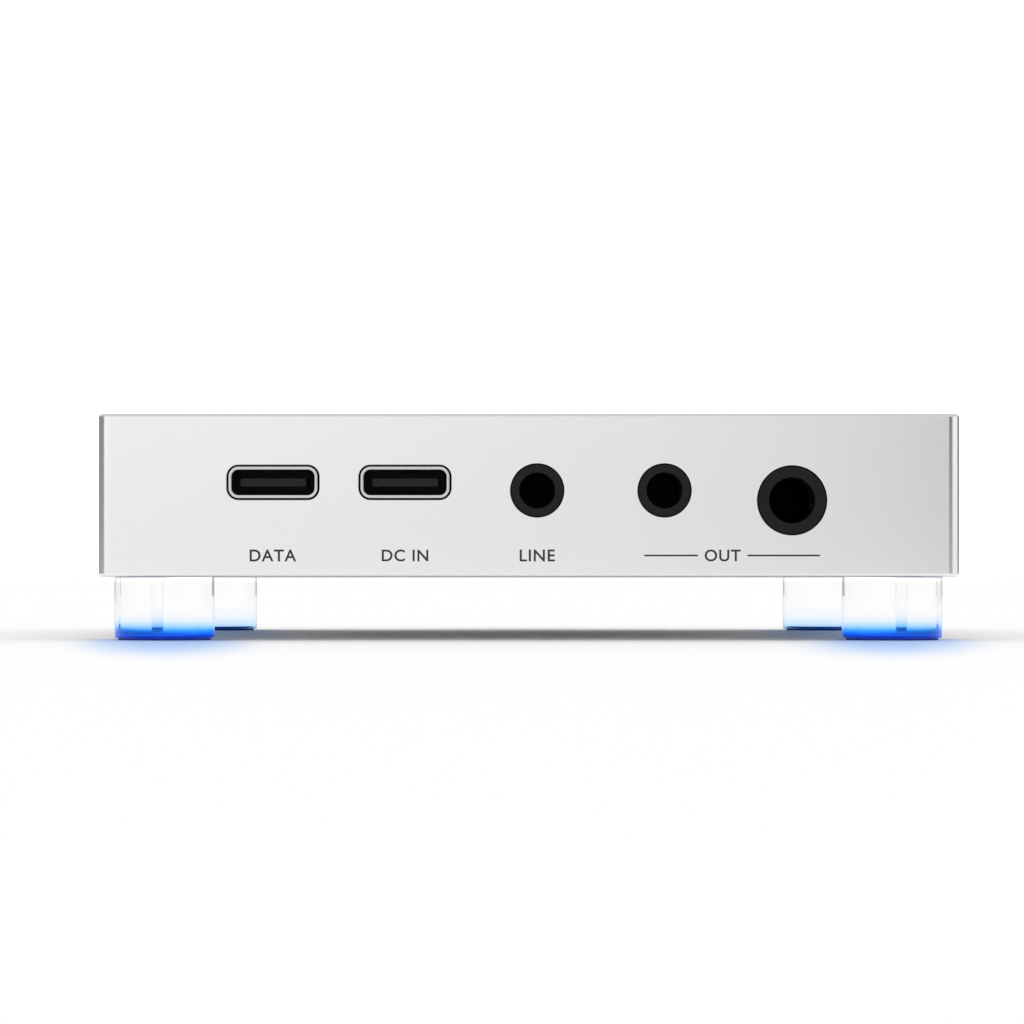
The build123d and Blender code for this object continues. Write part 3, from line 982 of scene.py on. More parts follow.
def split_boxes(node: str) -> list[tuple[Vector, Vector]]:
    """Lowest and highest corners of each separate solid in a CAD node.

    Args:
        node: The node's name.

    Returns:
        One pair for each solid.
    """
    mesh = bmesh.new()
    mesh.from_mesh(frame["nodes"][node].data)
    bmesh.ops.remove_doubles(mesh, verts=mesh.verts, dist=WELD)
    left, boxes = set(mesh.verts), []
    while left:
        todo, found = [left.pop()], []
        while todo:
            vert = todo.pop()
            found.append(vert.co.copy())
            fresh = [e.other_vert(vert) for e in vert.link_edges if e.other_vert(vert) in left]
            left.difference_update(fresh)
            todo.extend(fresh)
        low, high = (Vector([pick(spot[k] for spot in found) for k in range(3)]) for pick in (min, max))
        boxes.append((low, high))
    mesh.free()
    return boxes


# --- feet ---------------------------------------------------------------------------------------------
@dataclass
class Feet:
    """Four clear light-guide feet, each with a pad stuck under it. The rear ones get a dimmer painted glow, a
    copy of the same acrylic.
    """

    front_acrylic: Look = Look.CLEAR_ACRYLIC
    rear_acrylic: Look = Look.DIM_ACRYLIC
    underside: float = 6.4 * MM
    stem: float = 2.0 * MM
    pad_gap: float = 0.05 * MM
    recess_depth: float = 0.3 * MM
    edge: float = 0.18 * MM
    seat_gap: float = 0.02 * MM
    pad_edge: float = 0.06 * MM
    pad_rim: float = 0.7 * MM
    pad_dish: float = 0.08 * MM
    sides: int = 128

    def build(self, palette: Palette) -> None:
        """Models one foot and one pad, and copies both to the other corners.

        Args:
            palette: The materials.
        """
        places = self.places()
        guides = self._guide(places[0]).repeat({f"guide_{place}": f"foot_{place}" for place in places})
        pads = self._pad(places[0]).repeat({f"disc_{place}": f"pad_{place}" for place in places})
        for place, guide, pad in zip(places, guides, pads):
            palette.dress(guide.obj, self.front_acrylic if place.startswith("front") else self.rear_acrylic)
            hand_over(guide.obj, CHASSIS, "light_guide", f"foot_{place}")
            palette.dress(pad.obj, Look.PAD_RUBBER)
            hand_over(pad.obj, CHASSIS, "foot_pad", f"pad_{place}")

    @staticmethod
    def places() -> list[str]:
        """The corners' names."""
        return [f"{end}_{side}" for end in ("front", "rear") for side in ("left", "right")]

    def _guide(self, place: str) -> Solid:
        """Models the clear cylinder, with its stem above and its recess below.

        Args:
            place: The foot's corner.

        Returns:
            The foot.
        """
        low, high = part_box(f"foot_{place}")
        radius = (high.x - low.x) / 2
        pad_low, pad_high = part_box(f"pad_{place}")
        recess = (pad_high.x - pad_low.x) / 2 + self.pad_gap
        centre = Vector(((low.x + high.x) / 2, (low.y + high.y) / 2, (low.z + self.underside) / 2))
        guide = Solid.drum("guide", centre, radius, self.underside - low.z, Along.Z, self.sides)
        guide.inset(facing_at(2, 1, self.underside), radius - self.stem)
        stem = self._inner(1, self.underside, self.stem, centre)
        guide.extrude(stem, Vector((0, 0, high.z - self.underside)))
        guide.inset(facing_at(2, -1, low.z), radius - recess)
        guide.extrude(self._inner(-1, low.z, recess, centre), Vector((0, 0, self.recess_depth)))
        rim = rim_at(2, low.z)
        guide.bevel(lambda e: rim(e) and self._out(e, centre) > (radius + recess) / 2, self.edge, 6)
        return guide.smooth()

    @staticmethod
    def _out(edge: bmesh.types.BMEdge, centre: Vector) -> float:
        """How far an edge's first vert stands from the foot's axis."""
        return (edge.verts[0].co.xy - centre.xy).length

    @staticmethod
    def _inner(sign: int, level: float, radius: float, centre: Vector) -> Test:
        """Makes the test for the round face left inside an inset.

        Args:
            sign: Whether the face looks up (1) or down (-1).
            level: The face's height.
            radius: The face's radius.
            centre: The foot's middle.

        Returns:
            The test.
        """
        flat = facing_at(2, sign, level)
        reach = radius + SLACK
        return lambda face: flat(face) and all((v.co.xy - centre.xy).length < reach for v in face.verts)

    def _pad(self, place: str) -> Solid:
        """Models the moulded disc, dished underneath inside a rim.

        Args:
            place: The foot's corner.

        Returns:
            The pad.
        """
        low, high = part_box(f"pad_{place}")
        radius = (high.x - low.x) / 2
        top = high.z - self.seat_gap
        centre = Vector(((low.x + high.x) / 2, (low.y + high.y) / 2, (low.z + top) / 2))
        pad = Solid.drum("disc", centre, radius, top - low.z, Along.Z, 96)
        pad.bevel(lambda e: rim_at(2, low.z)(e) or rim_at(2, top)(e), self.pad_edge, 3)
        pad.inset(facing_at(2, -1, low.z), self.pad_rim)
        dish = self._inner(-1, low.z, radius - self.pad_rim - self.pad_edge / 2, centre)
        pad.extrude(dish, Vector((0, 0, self.pad_dish)))
        return pad.smooth()


# --- sockets ------------------------------------------------------------------------------------------
@dataclass
class UsbSockets:
    """USB-C sockets: each a drawn shell and the insulator inside it."""

    names: tuple[str, ...] = ("data", "power")
    wall: float = 0.3 * MM
    back: float = 0.4 * MM
    tongue_width: float = 6.69 * MM
    tongue_height: float = 0.8 * MM
    nose: tuple[float, float] = (0.3 * MM, 0.86 * MM)
    setback: float = 0.9 * MM
    step: tuple[float, float] = (1.0 * MM, 1.5 * MM)
    base: float = 1.2 * MM
    lip: float = 0.05 * MM
    overlap: float = 0.1 * MM
    tip: float = 0.1 * MM
    corner: float = 1.0 * MM

    def build(self, palette: Palette) -> None:
        """Models one socket and copies it.

        Args:
            palette: The materials.
        """
        low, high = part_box(f"{self.names[0]}_port_shell")
        tubes = {f"{name}_sleeve": f"{name}_port_shell" for name in self.names}
        mouldings = {f"{name}_insulator": f"{name}_port_tongue" for name in self.names}
        shells = self._shell(low, high).repeat(tubes)
        insides = self._insulator(low, high).repeat(mouldings)
        for name, shell, inside in zip(self.names, shells, insides):
            palette.dress(shell.obj, Look.DRAWN_STEEL)
            hand_over(shell.obj, CHASSIS, "port_steel", f"{name}_port_shell")
            palette.dress(inside.obj, Look.SOCKET_PLASTIC)
            hand_over(inside.obj, CHASSIS, "port_insulator", f"{name}_port_tongue")

    def _shell(self, low: Vector, high: Vector) -> Solid:
        """Models the steel tube, closed behind, with its mouth's edges eased.

        Args:
            low: Its lowest corner.
            high: Its highest corner.

        Returns:
            The tube.
        """
        shell = Solid.block("sleeve", low, high)
        shell.bevel(parallel(1), self.corner, 12)
        shell.inset(facing_at(1, -1, low.y), self.wall)
        inner = self._inside(low, high, self.wall)
        shell.extrude(
            lambda f: facing_at(1, -1, low.y)(f) and all(inner(v) for v in f.verts),
            Vector((0, high.y - low.y - self.back, 0)),
        )
        shell.bevel(rim_at(1, low.y), self.lip, 3)
        return shell.smooth()

    @staticmethod
    def _inside(low: Vector, high: Vector, wall: float) -> Test:
        """Makes the test for a vert of the mouth's inner outline.

        Args:
            low: The tube's lowest corner.
            high: The tube's highest corner.
            wall: The tube's thickness.

        Returns:
            The test.
        """
        mid = (low + high) / 2
        half = (high - low) / 2 - Vector((1, 0, 1)) * (wall - SLACK)
        return lambda v: abs(v.co.x - mid.x) < half.x and abs(v.co.z - mid.z) < half.z

    def _insulator(self, low: Vector, high: Vector) -> Solid:
        """Models the block at the back, its step and the tongue, as one moulding.

        Args:
            low: The tube's lowest corner.
            high: The tube's highest corner.

        Returns:
            The moulding.
        """
        mid = (low + high) / 2
        wide, tall = (high.x - low.x) / 2 - self.wall, (high.z - low.z) / 2 - self.wall
        back = high.y - self.back
        step_end = back - self.base
        step_start = step_end - self.step[0]
        front = low.y + self.setback
        half = self.tongue_width / 2
        parts = (
            ("base", wide, tall, step_end, back, self.corner - self.wall),
            ("step", half, self.step[1] / 2, step_start, step_end + self.overlap, 0.3 * MM),
            ("tongue", half, self.tongue_height / 2, front, step_start + self.overlap, 0.16 * MM),
            ("nose", half, self.nose[1] / 2, front, front + self.nose[0], 0.18 * MM),
        )
        whole = None
        for label, half_x, half_z, start, end, radius in parts:
            piece = Solid.block(
                label,
                Vector((mid.x - half_x, start, mid.z - half_z)),
                Vector((mid.x + half_x, end, mid.z + half_z)),
            )
            piece.bevel(parallel(1), radius, 5)
            whole = piece if whole is None else whole.combine(piece, Merge.JOIN)
        whole.bevel(rim_at(1, front), self.tip, 3)
        return whole.smooth()


@dataclass
class Jack:
    """Round jack: a moulded housing with a nose that fills the hole in the front."""

    name: str
    x: float
    z: float
    nose: float
    bore: float
    depth: float
    wall: float = 1.8 * MM
    edge: float = 0.2 * MM
    lip: float = 0.07 * MM
    overlap: float = 0.5 * MM
    window: float = 1.3 * MM
    window_spare: float = 0.1 * MM
    window_reach: float = 8 * MM

    @classmethod
    def from_mounts(cls) -> list["Jack"]:
        """The three jacks, at their mounts' places.

        Returns:
            The jacks, from left to right.
        """
        noses = {"line_out": 2.6 * MM, "phone_out": 2.6 * MM, "balanced_out": 3.4 * MM}
        found = []
        for mount in frame["record"]["mounts"]:
            name = mount["name"]
            if name in noses:
                x, _, z = mount["pos_m"]
                dims = mount["dims"]
                found.append(cls(name, x, z, noses[name], dims["r_mm"] * MM, dims["length_mm"] * MM))
        return found

    def build(self, palette: Palette, *alike: str) -> None:
        """Models the housing, and copies it for the jacks that are like it.

        Args:
            palette: The materials.
            alike: The names of the jacks like this one.
        """
        names = (self.name, *alike)
        bodies = self._housing().repeat({f"{n}_body": f"{n}_housing" for n in names})
        for name, body in zip(names, bodies):
            palette.dress(body.obj, Look.JACK_PLASTIC)
            hand_over(body.obj, CHASSIS, "jack_plastic", f"{name}_housing")

    def _housing(self) -> Solid:
        """Models the block with its nose, its bore and its contacts' windows.

        Returns:
            The housing.
        """
        low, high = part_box(f"{self.name}_housing")
        inner = Vector((low.x, low.y + self.wall, low.z))
        body = Solid.block("body", inner, high)
        body.bevel(parallel(1), self.edge, 3)
        middle = Vector((self.x, low.y + (self.wall + self.overlap) / 2, self.z))
        nose = Solid.drum("nose", middle, self.nose, self.wall + self.overlap, Along.Y, 96)
        body.combine(nose, Merge.JOIN)
        middle = Vector((self.x, low.y + self.depth / 2 - self.overlap, self.z))
        bore = Solid.drum("bore", middle, self.bore, self.depth + 2 * self.overlap, Along.Y, 96)
        body.combine(bore, Merge.CUT)
        self._cut_windows(body)
        body.bevel(rim_at(1, low.y), self.lip, 3)
        return body.smooth()

    def _cut_windows(self, body: Solid) -> None:
        """Cuts the windows in the sides that the leaf contacts sit in.

        Args:
            body: The housing.
        """
        for low, high in split_boxes(f"{self.name}_contacts"):
            side = 1 if (low.x + high.x) / 2 > self.x else -1
            left, right = sorted((self.x + side * self.bore * 0.9, self.x + side * self.window_reach))
            spare, tall = self.window_spare, self.window / 2
            window = Solid.block(
                "window",
                Vector((left, low.y - spare, self.z - tall)),
                Vector((right, high.y + spare, self.z + tall)),
            )
            body.combine(window, Merge.CUT)


# --- volume knob --------------------------------------------------------------------------------------
@dataclass
class VolumeKnob:
    """Turned knob with a finely grooved side and a dished end."""

    grooves: int = 60
    groove: float = 0.14 * MM
    band: float = 1.1 * MM
    ramp: float = 0.12 * MM
    rim: float = 0.45 * MM
    dish: float = 0.15 * MM
    dish_rim: float = 0.8 * MM
    recess: tuple[float, float] = (4.9 * MM, 2.8 * MM)
    bore: float = 1.76 * MM
    bore_depth: float = 7.22 * MM
    flat: float = 1.26 * MM
    grub: tuple[float, float] = (1.0 * MM, 5.2 * MM)
    overlap: float = MM
    smoothing: float = 25

    def build(self, palette: Palette) -> None:
        """Builds the knob.

        Args:
            palette: The materials.
        """
        low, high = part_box("volume_knob")
        axis = (low + high) / 2
        knob = self._side(low, high, axis)
        self._end(knob, low, high, axis)
        self._bores(knob, low, axis)
        knob.smooth(self.smoothing)
        palette.dress(knob.obj, Look.TURNED_ALUMINIUM)
        hand_over(knob.obj, KNOB_BODY, "knob_aluminium", "volume_knob")

    def _side(self, low: Vector, high: Vector, axis: Vector) -> Solid:
        """Models the drum with a plain band at each end and grooves between.

        Args:
            low: The knob's lowest corner.
            high: Its highest corner.
            axis: A point on its axis.

        Returns:
            The drum.
        """
        radius = (high.x - low.x) / 2
        centre = Vector((axis.x, low.y + self.band / 2, axis.z))
        knob = Solid.drum("volume_dial", centre, radius, self.band, Along.Y, 3 * self.grooves)
        shrink = 1 - self.groove / radius
        end = low.y + self.band
        end = self._grow(knob, end, self.ramp)
        self._groove(knob, end, axis, shrink, radius)
        end = self._grow(knob, end, high.y - low.y - 2 * self.band - 2 * self.ramp)
        end = self._grow(knob, end, self.ramp)
        self._groove(knob, end, axis, 1 / shrink, radius * shrink)
        self._grow(knob, end, self.band)
        return knob

    def _end(self, knob: Solid, low: Vector, high: Vector, axis: Vector) -> None:
        """Rounds both rims and dishes the outer end.

        Args:
            knob: The knob.
            low: Its lowest corner.
            high: Its highest corner.
            axis: A point on its axis.
        """
        knob.bevel(rim_at(1, high.y), self.rim, 6)
        knob.bevel(rim_at(1, low.y), self.rim / 2, 4)
        disc = facing_at(1, 1, high.y)
        knob.inset(disc, self.dish_rim)
        reach = (high.x - low.x) / 2 - self.rim - self.dish_rim + SLACK
        knob.extrude(
            lambda face: disc(face) and all(self._out(vert, axis) < reach for vert in face.verts),
            Vector((0, -self.dish, 0)),
        )

    @staticmethod
    def _out(vert: bmesh.types.BMVert, axis: Vector) -> float:
        """How far a vert stands from the knob's axis."""
        return math.hypot(vert.co.x - axis.x, vert.co.z - axis.z)

    @staticmethod
    def _grow(knob: Solid, end: float, length: float) -> float:
        """Extrudes the knob's end by a length and gives the place where it ends now."""
        knob.extrude(facing_at(1, 1, end), Vector((0, length, 0)))
        return end + length

    def _groove(self, knob: Solid, end: float, axis: Vector, scale: float, radius: float) -> None:
        """Moves every third vert of the end in or out.

        Args:
            knob: The knob so far.
            end: Where it ends.
            axis: A point on its axis.
            scale: How many times further out the verts go.
            radius: How far out they are now.
        """
        pitch = 2 * math.pi / self.grooves

        def chosen(vert: bmesh.types.BMVert) -> bool:
            """True for a vert that lies in a groove."""
            turn = math.atan2(vert.co.x - axis.x, vert.co.z - axis.z) / pitch
            on_line = abs(turn - round(turn)) < 0.05
            on_rim = abs(self._out(vert, axis) - radius) < 3 * SLACK
            return near(vert.co.y, end) and on_line and on_rim

        knob.resize(chosen, Vector((scale, 1, scale)), Vector((axis.x, end, axis.z)))

    def _bores(self, knob: Solid, low: Vector, axis: Vector) -> None:
        """Cuts the recess for the nut, the D-section bore and the grub screw's hole.

        Args:
            knob: The knob.
            low: Its lowest corner.
            axis: A point on its axis.
        """
        radius, depth = self.recess
        centre = Vector((axis.x, low.y + (depth - self.overlap) / 2, axis.z))
        recess = Solid.drum("recess", centre, radius, depth + self.overlap, Along.Y, 96)
        knob.combine(recess, Merge.CUT)
        centre = Vector((axis.x, low.y + self.bore_depth / 2, axis.z))
        bore = Solid.drum("bore", centre, self.bore, self.bore_depth, Along.Y, 64)
        wide = Vector((2 * self.bore, self.bore_depth, 0))
        top = Vector((axis.x, centre.y, axis.z + self.flat))
        above = Vector((0, 0, 2 * self.bore))
        bore.combine(Solid.block("flat", top - wide, top + wide + above), Merge.CUT)
        knob.combine(bore, Merge.CUT)
        radius, reach = self.grub
        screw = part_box("knob_grub_screw")
        y = (screw[0].y + screw[1].y) / 2
        centre = Vector((axis.x, y, axis.z + self.flat + reach / 2))
        knob.combine(Solid.drum("hole", centre, radius, reach, Along.Z, 40), Merge.CUT)


# --- labels -------------------------------------------------------------------------------------------
@dataclass
class Labels:
    """Printed words and lines under the ports."""

    height: float = 1.2 * MM
    middle: float = 8.56 * MM
    thick: float = 0.008 * MM
    line: float = 0.17 * MM
    spacing: float = 1.1
    bold: float = 0.016 * MM
    left_line: tuple[float, float] = (11.53 * MM, 16.95 * MM)
    right_line: tuple[float, float] = (21.9 * MM, 29.2 * MM)

    def build(self, palette: Palette) -> None:
        """Prints the words and the lines beside the last one.

        Args:
            palette: The materials.
        """
        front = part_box("case_shell")[0].y
        words = {
            "DATA": self._middle_of("data_port_shell"),
            "DC IN": self._middle_of("power_port_shell"),
            "LINE": self._middle_of("line_out_housing"),
            "OUT": (self.left_line[1] + self.right_line[0]) / 2,
        }
        for word, x in words.items():
            self._word(palette, word, x, front)
        self._line(palette, "left", *self.left_line, front)
        self._line(palette, "right", *self.right_line, front)

    @staticmethod
    def _middle_of(node: str) -> float:
        """Middle of a node across the front."""
        low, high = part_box(node)
        return (low.x + high.x) / 2

    def _word(self, palette: Palette, word: str, x: float, front: float) -> None:
        """Prints one word.

        Args:
            palette: The materials.
            word: The word.
            x: Where its middle is.
            front: Where the CAD's front face is.
        """
        bpy.ops.object.select_all(action="DESELECT")
        bpy.ops.object.text_add(rotation=(math.pi / 2, 0, 0))
        text = bpy.context.object
        text.data.body = word
        text.data.space_character = self.spacing
        text.data.extrude = self.thick / 2
        text.data.offset = self.bold
        text.data.size = MM
        bpy.ops.object.convert(target="MESH")
        bpy.ops.object.transform_apply(location=True, rotation=True, scale=True)
        label = bpy.context.object
        label.name = "label_" + word.lower().replace(" ", "_")
        spots = [vert.co for vert in label.data.vertices]
        low, high = (Vector([pick(spot[k] for spot in spots) for k in range(3)]) for pick in (min, max))
        scale = self.height / (high.z - low.z)
        centre = (low + high) / 2
        move = Matrix.Translation(Vector((x, front + self.thick * 0.75, self.middle)))
        grow = Matrix.Diagonal(Vector((scale, 1, scale, 1)))
        label.data.transform(move @ grow @ Matrix.Translation(-centre))
        palette.dress(label, Look.LABEL_INK)
        hand_over(label, CHASSIS, "chip_black")

    def _line(self, palette: Palette, label: str, start: float, end: float, front: float) -> None:
        """Prints one thin line with rounded ends.

        Args:
            palette: The materials.
            label: Which side of the word it is on.
            start: Its left end.
            end: Its right end.
            front: Where the CAD's front face is.
        """
        half = self.line / 2
        line = Solid.block(
            f"label_line_{label}",
            Vector((start, front + self.thick * 0.25, self.middle - half)),
            Vector((end, front + self.thick * 1.5, self.middle + half)),
        )
        line.bevel(parallel(1), half * 0.9, 4)
        line.smooth()
        palette.dress(line.obj, Look.LABEL_INK)
        hand_over(line.obj, CHASSIS, "chip_black")


# --- CAD nodes that keep their shape ------------------------------------------------------------------
@dataclass
class KeptNodes:
    """CAD nodes that keep their CAD shape, with the look of each."""

    looks: dict[Look, tuple[str, ...]] = field(default_factory=lambda: {
        Look.PLATE_ALUMINIUM: ("bottom_plate",),
        Look.ZINC_STEEL: ("plate_screws", "pcb_screws", "knob_grub_screw"),
        Look.SOLDER_MASK: ("main_pcb",),
        Look.LED_LENS: ("foot_leds",),
        Look.CHIP_EPOXY: ("dac_chip", "bridge_chip", "amplifier_chips"),
        Look.TINNED_STEEL: ("clock_crystals", "power_shield_can"),
        Look.PRESSED_FERRITE: ("power_inductors",),
        Look.CAN_ALUMINIUM: ("capacitors",),
        Look.GOLD_FLASH: (
            "data_port_contacts", "power_port_contacts", "line_out_contacts", "phone_out_contacts",
            "balanced_out_contacts",
        ),
        Look.ENCODER_PLASTIC: ("encoder_housing", "encoder_plunger"),
        Look.NICKEL: (
            "encoder_bushing", "encoder_washer", "encoder_nut", "encoder_shaft", "encoder_pins",
            "switch_dome",
        ),
    })

    def build(self, palette: Palette) -> None:
        """Gives each node its finish.

        Args:
            palette: The materials.
        """
        for look, nodes in self.looks.items():
            for node in nodes:
                palette.dress(frame["nodes"][node], look)
                LOG.info("%s: CAD shape in %s", node, look.value)


# --- studio -------------------------------------------------------------------------------------------
def mirrored_rays(tree: Tree) -> Socket:
    """Adds a mask of the rays that come off a mirroring surface and not through glass.

    Args:
        tree: The material's or world's nodes.

    Returns:
        The mask.
    """
    rays = tree.nodes.new("ShaderNodeLightPath").outputs
    opaque = add_math(tree, "SUBTRACT", 1.0, rays["Is Transmission Ray"])
    return add_math(tree, "MULTIPLY", rays["Is Glossy Ray"], opaque)


class Seen(Enum):
    """Which rays a card shows to."""

    MIRRORED = "glossy"
    THROUGH_GLASS = "transmission"


@dataclass(frozen=True)
class Card:
    """A staged card that gives off light and only shows to some rays.

    Its stops are places across it, from 0 at its left edge to 1 at its right, each with the light there.
    """

    name: str
    size: tuple[float, float]
    place: tuple[float, float, float]
    turn: tuple[float, float, float]
    stops: tuple[tuple[float, float], ...]
    seen: Seen = Seen.MIRRORED
    gain: float = 1.0
    fall: float = 0.0

    def build(self) -> None:
        """Makes the card."""
        bpy.ops.object.select_all(action="DESELECT")
        bpy.ops.mesh.primitive_plane_add(size=1, location=self.place, rotation=self.turn)
        card = bpy.context.object
        card.name = self.name
        card.scale = (*self.size, 1)
        card.data.materials.append(self._material())
        card.visible_camera = False
        card.visible_diffuse = False
        card.visible_shadow = False
        card.visible_glossy = self.seen is Seen.MIRRORED
        card.visible_transmission = self.seen is Seen.THROUGH_GLASS

    def _material(self) -> bpy.types.Material:
        """Makes light that varies across the card, and falls from its top to its bottom.

        Returns:
            The material.
        """
        material = bpy.data.materials.new(self.name)
        material.use_nodes = True
        tree = material.node_tree
        tree.nodes.remove(tree.nodes["Principled BSDF"])
        glow = tree.nodes.new("ShaderNodeEmission")
        split = tree.nodes.new("ShaderNodeSeparateXYZ")
        tree.links.new(tree.nodes.new("ShaderNodeTexCoord").outputs["Object"], split.inputs["Vector"])
        across = add_math(tree, "ADD", split.outputs["X"], 0.5)
        greys = [(place, (light, light, light)) for place, light in self.stops]
        tree.links.new(colour_ramp(tree, across, greys), glow.inputs["Color"])
        slope = add_math(tree, "MULTIPLY", split.outputs["Y"], self.fall)
        tree.links.new(add_math(tree, "ADD", slope, self.gain), glow.inputs["Strength"])
        tree.links.new(glow.outputs["Emission"], tree.nodes["Material Output"].inputs["Surface"])
        return material


@dataclass
class Studio:
    """Pale floor, soft white light, reflecting cards and the camera.

    A painted pool of blue light is coloured into the floor round each foot, with a painted streak towards the
    camera that shows in low views.
    The eye is the camera's x and z, and the sky's two strengths are at the horizon and above the haze.
    """

    distance: float = 378 * MM
    eye: tuple[float, float] = (-5.23 * MM, 6.1 * MM)
    lens: float = 132.45
    sensor: float = 36.0
    shift: tuple[float, float] = (0.0342, 0.0664)
    sky: tuple[float, float] = (1.25, 1.04)
    sky_mirrored: float = 0.8
    haze: float = 0.25
    floor: float = 0.96
    floor_size: float = 40.0
    painted_pool_colour: Colour = (0.46, 0.65, 1.0)
    pool_edge: tuple[float, float] = (2.0 * MM, 12.0 * MM)
    pool_stretch: float = 10.0
    streak_view: tuple[float, float] = (0.8, 0.93)
    mirror_fade: tuple[float, float] = (50 * MM, 200 * MM)
    mirror_dim: float = 0.34

    def build(self) -> None:
        """Sets up the world, the floor, the cards and the camera."""
        self._world()
        self._floor()
        self._cards()
        self._camera()

    def _world(self) -> None:
        """White light from all round, stronger near the horizon."""
        world = bpy.data.worlds.new("studio")
        world.use_nodes = True
        tree = world.node_tree
        sky = tree.nodes["Background"]
        sky.inputs["Color"].default_value = (1, 1, 1, 1)
        split = tree.nodes.new("ShaderNodeSeparateXYZ")
        tree.links.new(tree.nodes.new("ShaderNodeTexCoord").outputs["Generated"], split.inputs["Vector"])
        ramp = tree.nodes.new("ShaderNodeMapRange")
        ramp.inputs["From Max"].default_value = self.haze
        ramp.inputs["To Min"].default_value = self.sky[0]
        ramp.inputs["To Max"].default_value = self.sky[1]
        tree.links.new(split.outputs["Z"], ramp.inputs["Value"])
        less = add_math(tree, "MULTIPLY", mirrored_rays(tree), 1 - self.sky_mirrored)
        kept = add_math(tree, "SUBTRACT", 1.0, less)
        tree.links.new(add_math(tree, "MULTIPLY", ramp.outputs["Result"], kept), sky.inputs["Strength"])
        bpy.context.scene.world = world
        bpy.context.scene.view_settings.view_transform = "Standard"

    def _floor(self) -> None:
        """A wide white floor, with a pool of blue light painted into its colour by each foot."""
        bpy.ops.object.select_all(action="DESELECT")
        bpy.ops.mesh.primitive_plane_add(size=self.floor_size, location=(0, 0, 0))
        floor = bpy.context.object
        floor.name = "floor"
        material = bpy.data.materials.new("white_floor")
        material.use_nodes = True
        tree = material.node_tree
        shader = tree.nodes["Principled BSDF"]
        shader.inputs["Roughness"].default_value = 0.9
        shader.inputs["Specular IOR Level"].default_value = 0.1
        spot = tree.nodes.new("ShaderNodeTexCoord").outputs["Object"]
        white = (self.floor, self.floor, self.floor)
        # painted light: the floor's colour turns blue in a pool round each foot, seen only by the camera
        blue = tuple(self.floor * part for part in self.painted_pool_colour)
        colour = colour_ramp(tree, self._painted_pools(tree, spot), [(0.0, white), (1.0, blue)])
        # painted shade: the floor is coloured darker in what the case mirrors, more with distance from its
        # front
        dim = add_math(tree, "MULTIPLY", self._painted_mirror_shade(tree, spot), mirrored_rays(tree))
        scale = tree.nodes.new("ShaderNodeVectorMath")
        scale.operation = "SCALE"
        tree.links.new(colour, scale.inputs[0])
        tree.links.new(add_math(tree, "SUBTRACT", 1.0, dim), scale.inputs["Scale"])
        tree.links.new(scale.outputs["Vector"], shader.inputs["Base Color"])
        floor.data.materials.append(material)

    def _painted_pools(self, tree: Tree, spot: Socket) -> Socket:
        """Mask of the painted pools of blue light by all the feet, which only the camera sees.

        Args:
            tree: The floor's nodes.
            spot: The floor's Object coordinates.

        Returns:
            The mask.
        """
        slant = tree.nodes.new("ShaderNodeLayerWeight").outputs["Facing"]
        low_view = self._fade(tree, slant, self.streak_view, (0.0, 1.0))
        painted_pools = 0.0
        for place in Feet.places():
            centre = sum(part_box(f"foot_{place}"), Vector()) / 2
            streak = self._painted_pool(tree, spot, centre, self.pool_stretch)
            streak = add_math(tree, "MULTIPLY", streak, low_view)
            lit = add_math(tree, "MAXIMUM", self._painted_pool(tree, spot, centre, 1.0), streak)
            painted_pools = add_math(tree, "MAXIMUM", lit, painted_pools)
        direct = tree.nodes.new("ShaderNodeLightPath").outputs["Is Camera Ray"]
        return add_math(tree, "MULTIPLY", painted_pools, direct)

    def _painted_mirror_shade(self, tree: Tree, place: Socket) -> Socket:
        """Painted shade: how much the floor's colour is darkened in the case's reflections, more with
        distance from its front.

        Args:
            tree: The floor's nodes.
            place: The floor's Object coordinates.

        Returns:
            The share of its light that it loses.
        """
        apart = tree.nodes.new("ShaderNodeVectorMath")
        apart.operation = "DISTANCE"
        apart.inputs[1].default_value = (0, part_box("case_shell")[0].y, 0)
        tree.links.new(place, apart.inputs[0])
        return self._fade(tree, apart.outputs["Value"], self.mirror_fade, (0.0, self.mirror_dim))

    @staticmethod
    def _fade(tree: Tree, value: Socket, span: tuple[float, float], ends: tuple[float, float]) -> Socket:
        """Smooth step from one end value to the other over a span.

        Args:
            tree: The material's nodes.
            value: The socket that is stepped.
            span: Where the step starts and ends.
            ends: The values before and after it.

        Returns:
            The result's socket.
        """
        fade = tree.nodes.new("ShaderNodeMapRange")
        fade.interpolation_type = "SMOOTHERSTEP"
        fade.inputs["From Min"].default_value, fade.inputs["From Max"].default_value = span
        fade.inputs["To Min"].default_value, fade.inputs["To Max"].default_value = ends
        tree.links.new(value, fade.inputs["Value"])
        return fade.outputs["Result"]

    def _painted_pool(self, tree: Tree, place: Socket, centre: Vector, stretch: float) -> Socket:
        """Mask of one painted pool of light round a foot, stretched towards the camera.

        Args:
            tree: The floor's nodes.
            place: The floor's Object coordinates.
            centre: The foot's middle.
            stretch: How many times further it reaches towards the camera than behind or beside.

        Returns:
            The mask's socket.
        """
        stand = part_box("case_shell")[0].y - self.distance
        shape = tree.nodes.new("ShaderNodeMapping")
        shape.vector_type = "TEXTURE"
        shape.inputs["Location"].default_value = (centre.x, centre.y, 0)
        shape.inputs["Rotation"].default_value = (0, 0, math.atan2(self.eye[0] - centre.x, centre.y - stand))
        tree.links.new(place, shape.inputs["Vector"])
        split = tree.nodes.new("ShaderNodeSeparateXYZ")
        tree.links.new(shape.outputs["Vector"], split.inputs["Vector"])
        behind = add_math(tree, "MAXIMUM", split.outputs["Y"], 0.0)
        before = add_math(tree, "MINIMUM", split.outputs["Y"], 0.0)
        along = add_math(tree, "ADD", behind, add_math(tree, "DIVIDE", before, stretch))
        squares = add_math(tree, "ADD", add_math(tree, "POWER", split.outputs["X"], 2.0),
                           add_math(tree, "POWER", along, 2.0))
        return self._fade(tree, add_math(tree, "SQRT", squares, 0.0), self.pool_edge, (1.0, 0.0))

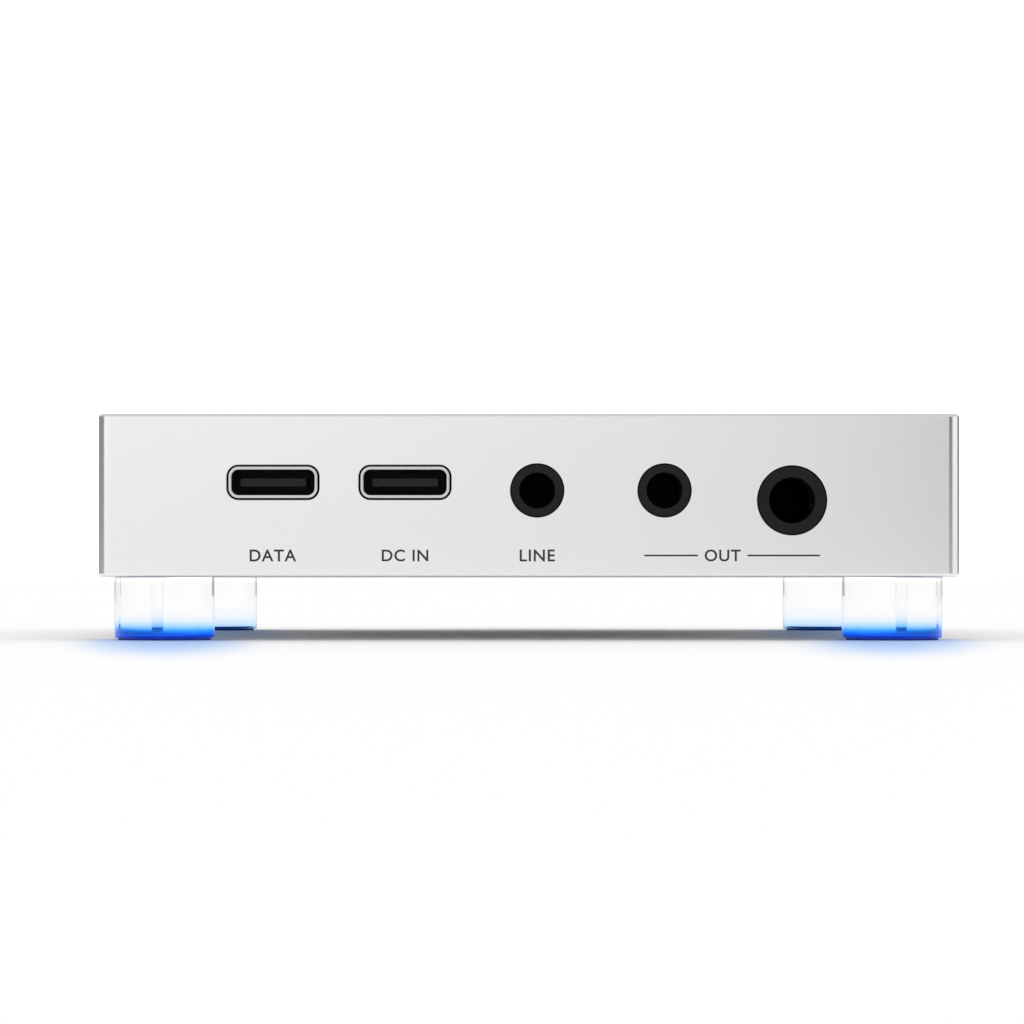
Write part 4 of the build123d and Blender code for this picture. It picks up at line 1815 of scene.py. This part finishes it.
    def _cards(self) -> None:
        """A graded card in front, one overhead, and dark ones at the two sides."""
        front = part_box("case_shell")[0].y
        quarter = math.pi / 2
        graded = (
            (0.096, 0.95), (0.43, 0.97), (0.52, 0.93), (0.547, 0.92), (0.596, 0.82), (0.650, 0.73),
            (0.664, 0.30), (0.680, 0.11), (0.885, 0.12), (0.920, 0.88),
        )
        flat, dark, grey = (0, 0, 0), ((0.0, 0.23), (1.0, 0.23)), ((0.0, 0.63), (1.0, 0.63))
        cards = (
            Card("front_card", (2.6, 0.3), (-0.25, front - 0.75, 0.1), (quarter, 0, 0), graded,
                 gain=1.09, fall=0.52),
            Card("overhead_card", (14.0, 14.0), (0, 0, 2.4), flat, grey),
            Card("left_flag", (0.9, 0.36), (-0.4, front + 0.25, -0.02), (quarter, 0, quarter), dark),
            Card("right_flag", (1.2, 0.36), (0.4, front + 0.72, -0.02), (quarter, 0, quarter), dark),
            Card("left_edge", (1.1, 1.5), (-1.2, front - 0.1, 0.3), (quarter, 0, quarter), dark,
                 Seen.THROUGH_GLASS),
            Card("right_edge", (1.1, 1.5), (1.2, front - 0.1, 0.3), (quarter, 0, quarter), dark,
                 Seen.THROUGH_GLASS),
        )
        for card in cards:
            card.build()

    def _camera(self) -> None:
        """A long lens, level, just under the case's lower edge."""
        camera = bpy.data.cameras.new("camera")
        camera.lens = self.lens
        camera.clip_start = 10 * MM
        camera.sensor_width = self.sensor
        camera.shift_x, camera.shift_y = self.shift
        stand = bpy.data.objects.new("camera", camera)
        stand.location = (self.eye[0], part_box("case_shell")[0].y - self.distance, self.eye[1])
        stand.rotation_euler = (math.pi / 2, 0, 0)
        bpy.context.scene.collection.objects.link(stand)
        bpy.context.scene.camera = stand


def main() -> None:
    """Builds the studio and every sub-assembly."""
    logging.basicConfig(level=logging.INFO, format="%(name)s: %(message)s")
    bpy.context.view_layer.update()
    knob_low, knob_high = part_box("volume_knob")
    palette = Palette(tuple((knob_low + knob_high) / 2)).make()
    Studio().build()
    KeptNodes().build(palette)
    CaseShell().build(palette)
    Feet().build(palette)
    UsbSockets().build(palette)
    line_out, phone_out, balanced_out = Jack.from_mounts()
    line_out.build(palette, phone_out.name)
    balanced_out.build(palette)
    VolumeKnob().build(palette)
    Labels().build(palette)


if __name__ == "__main__":
    main()
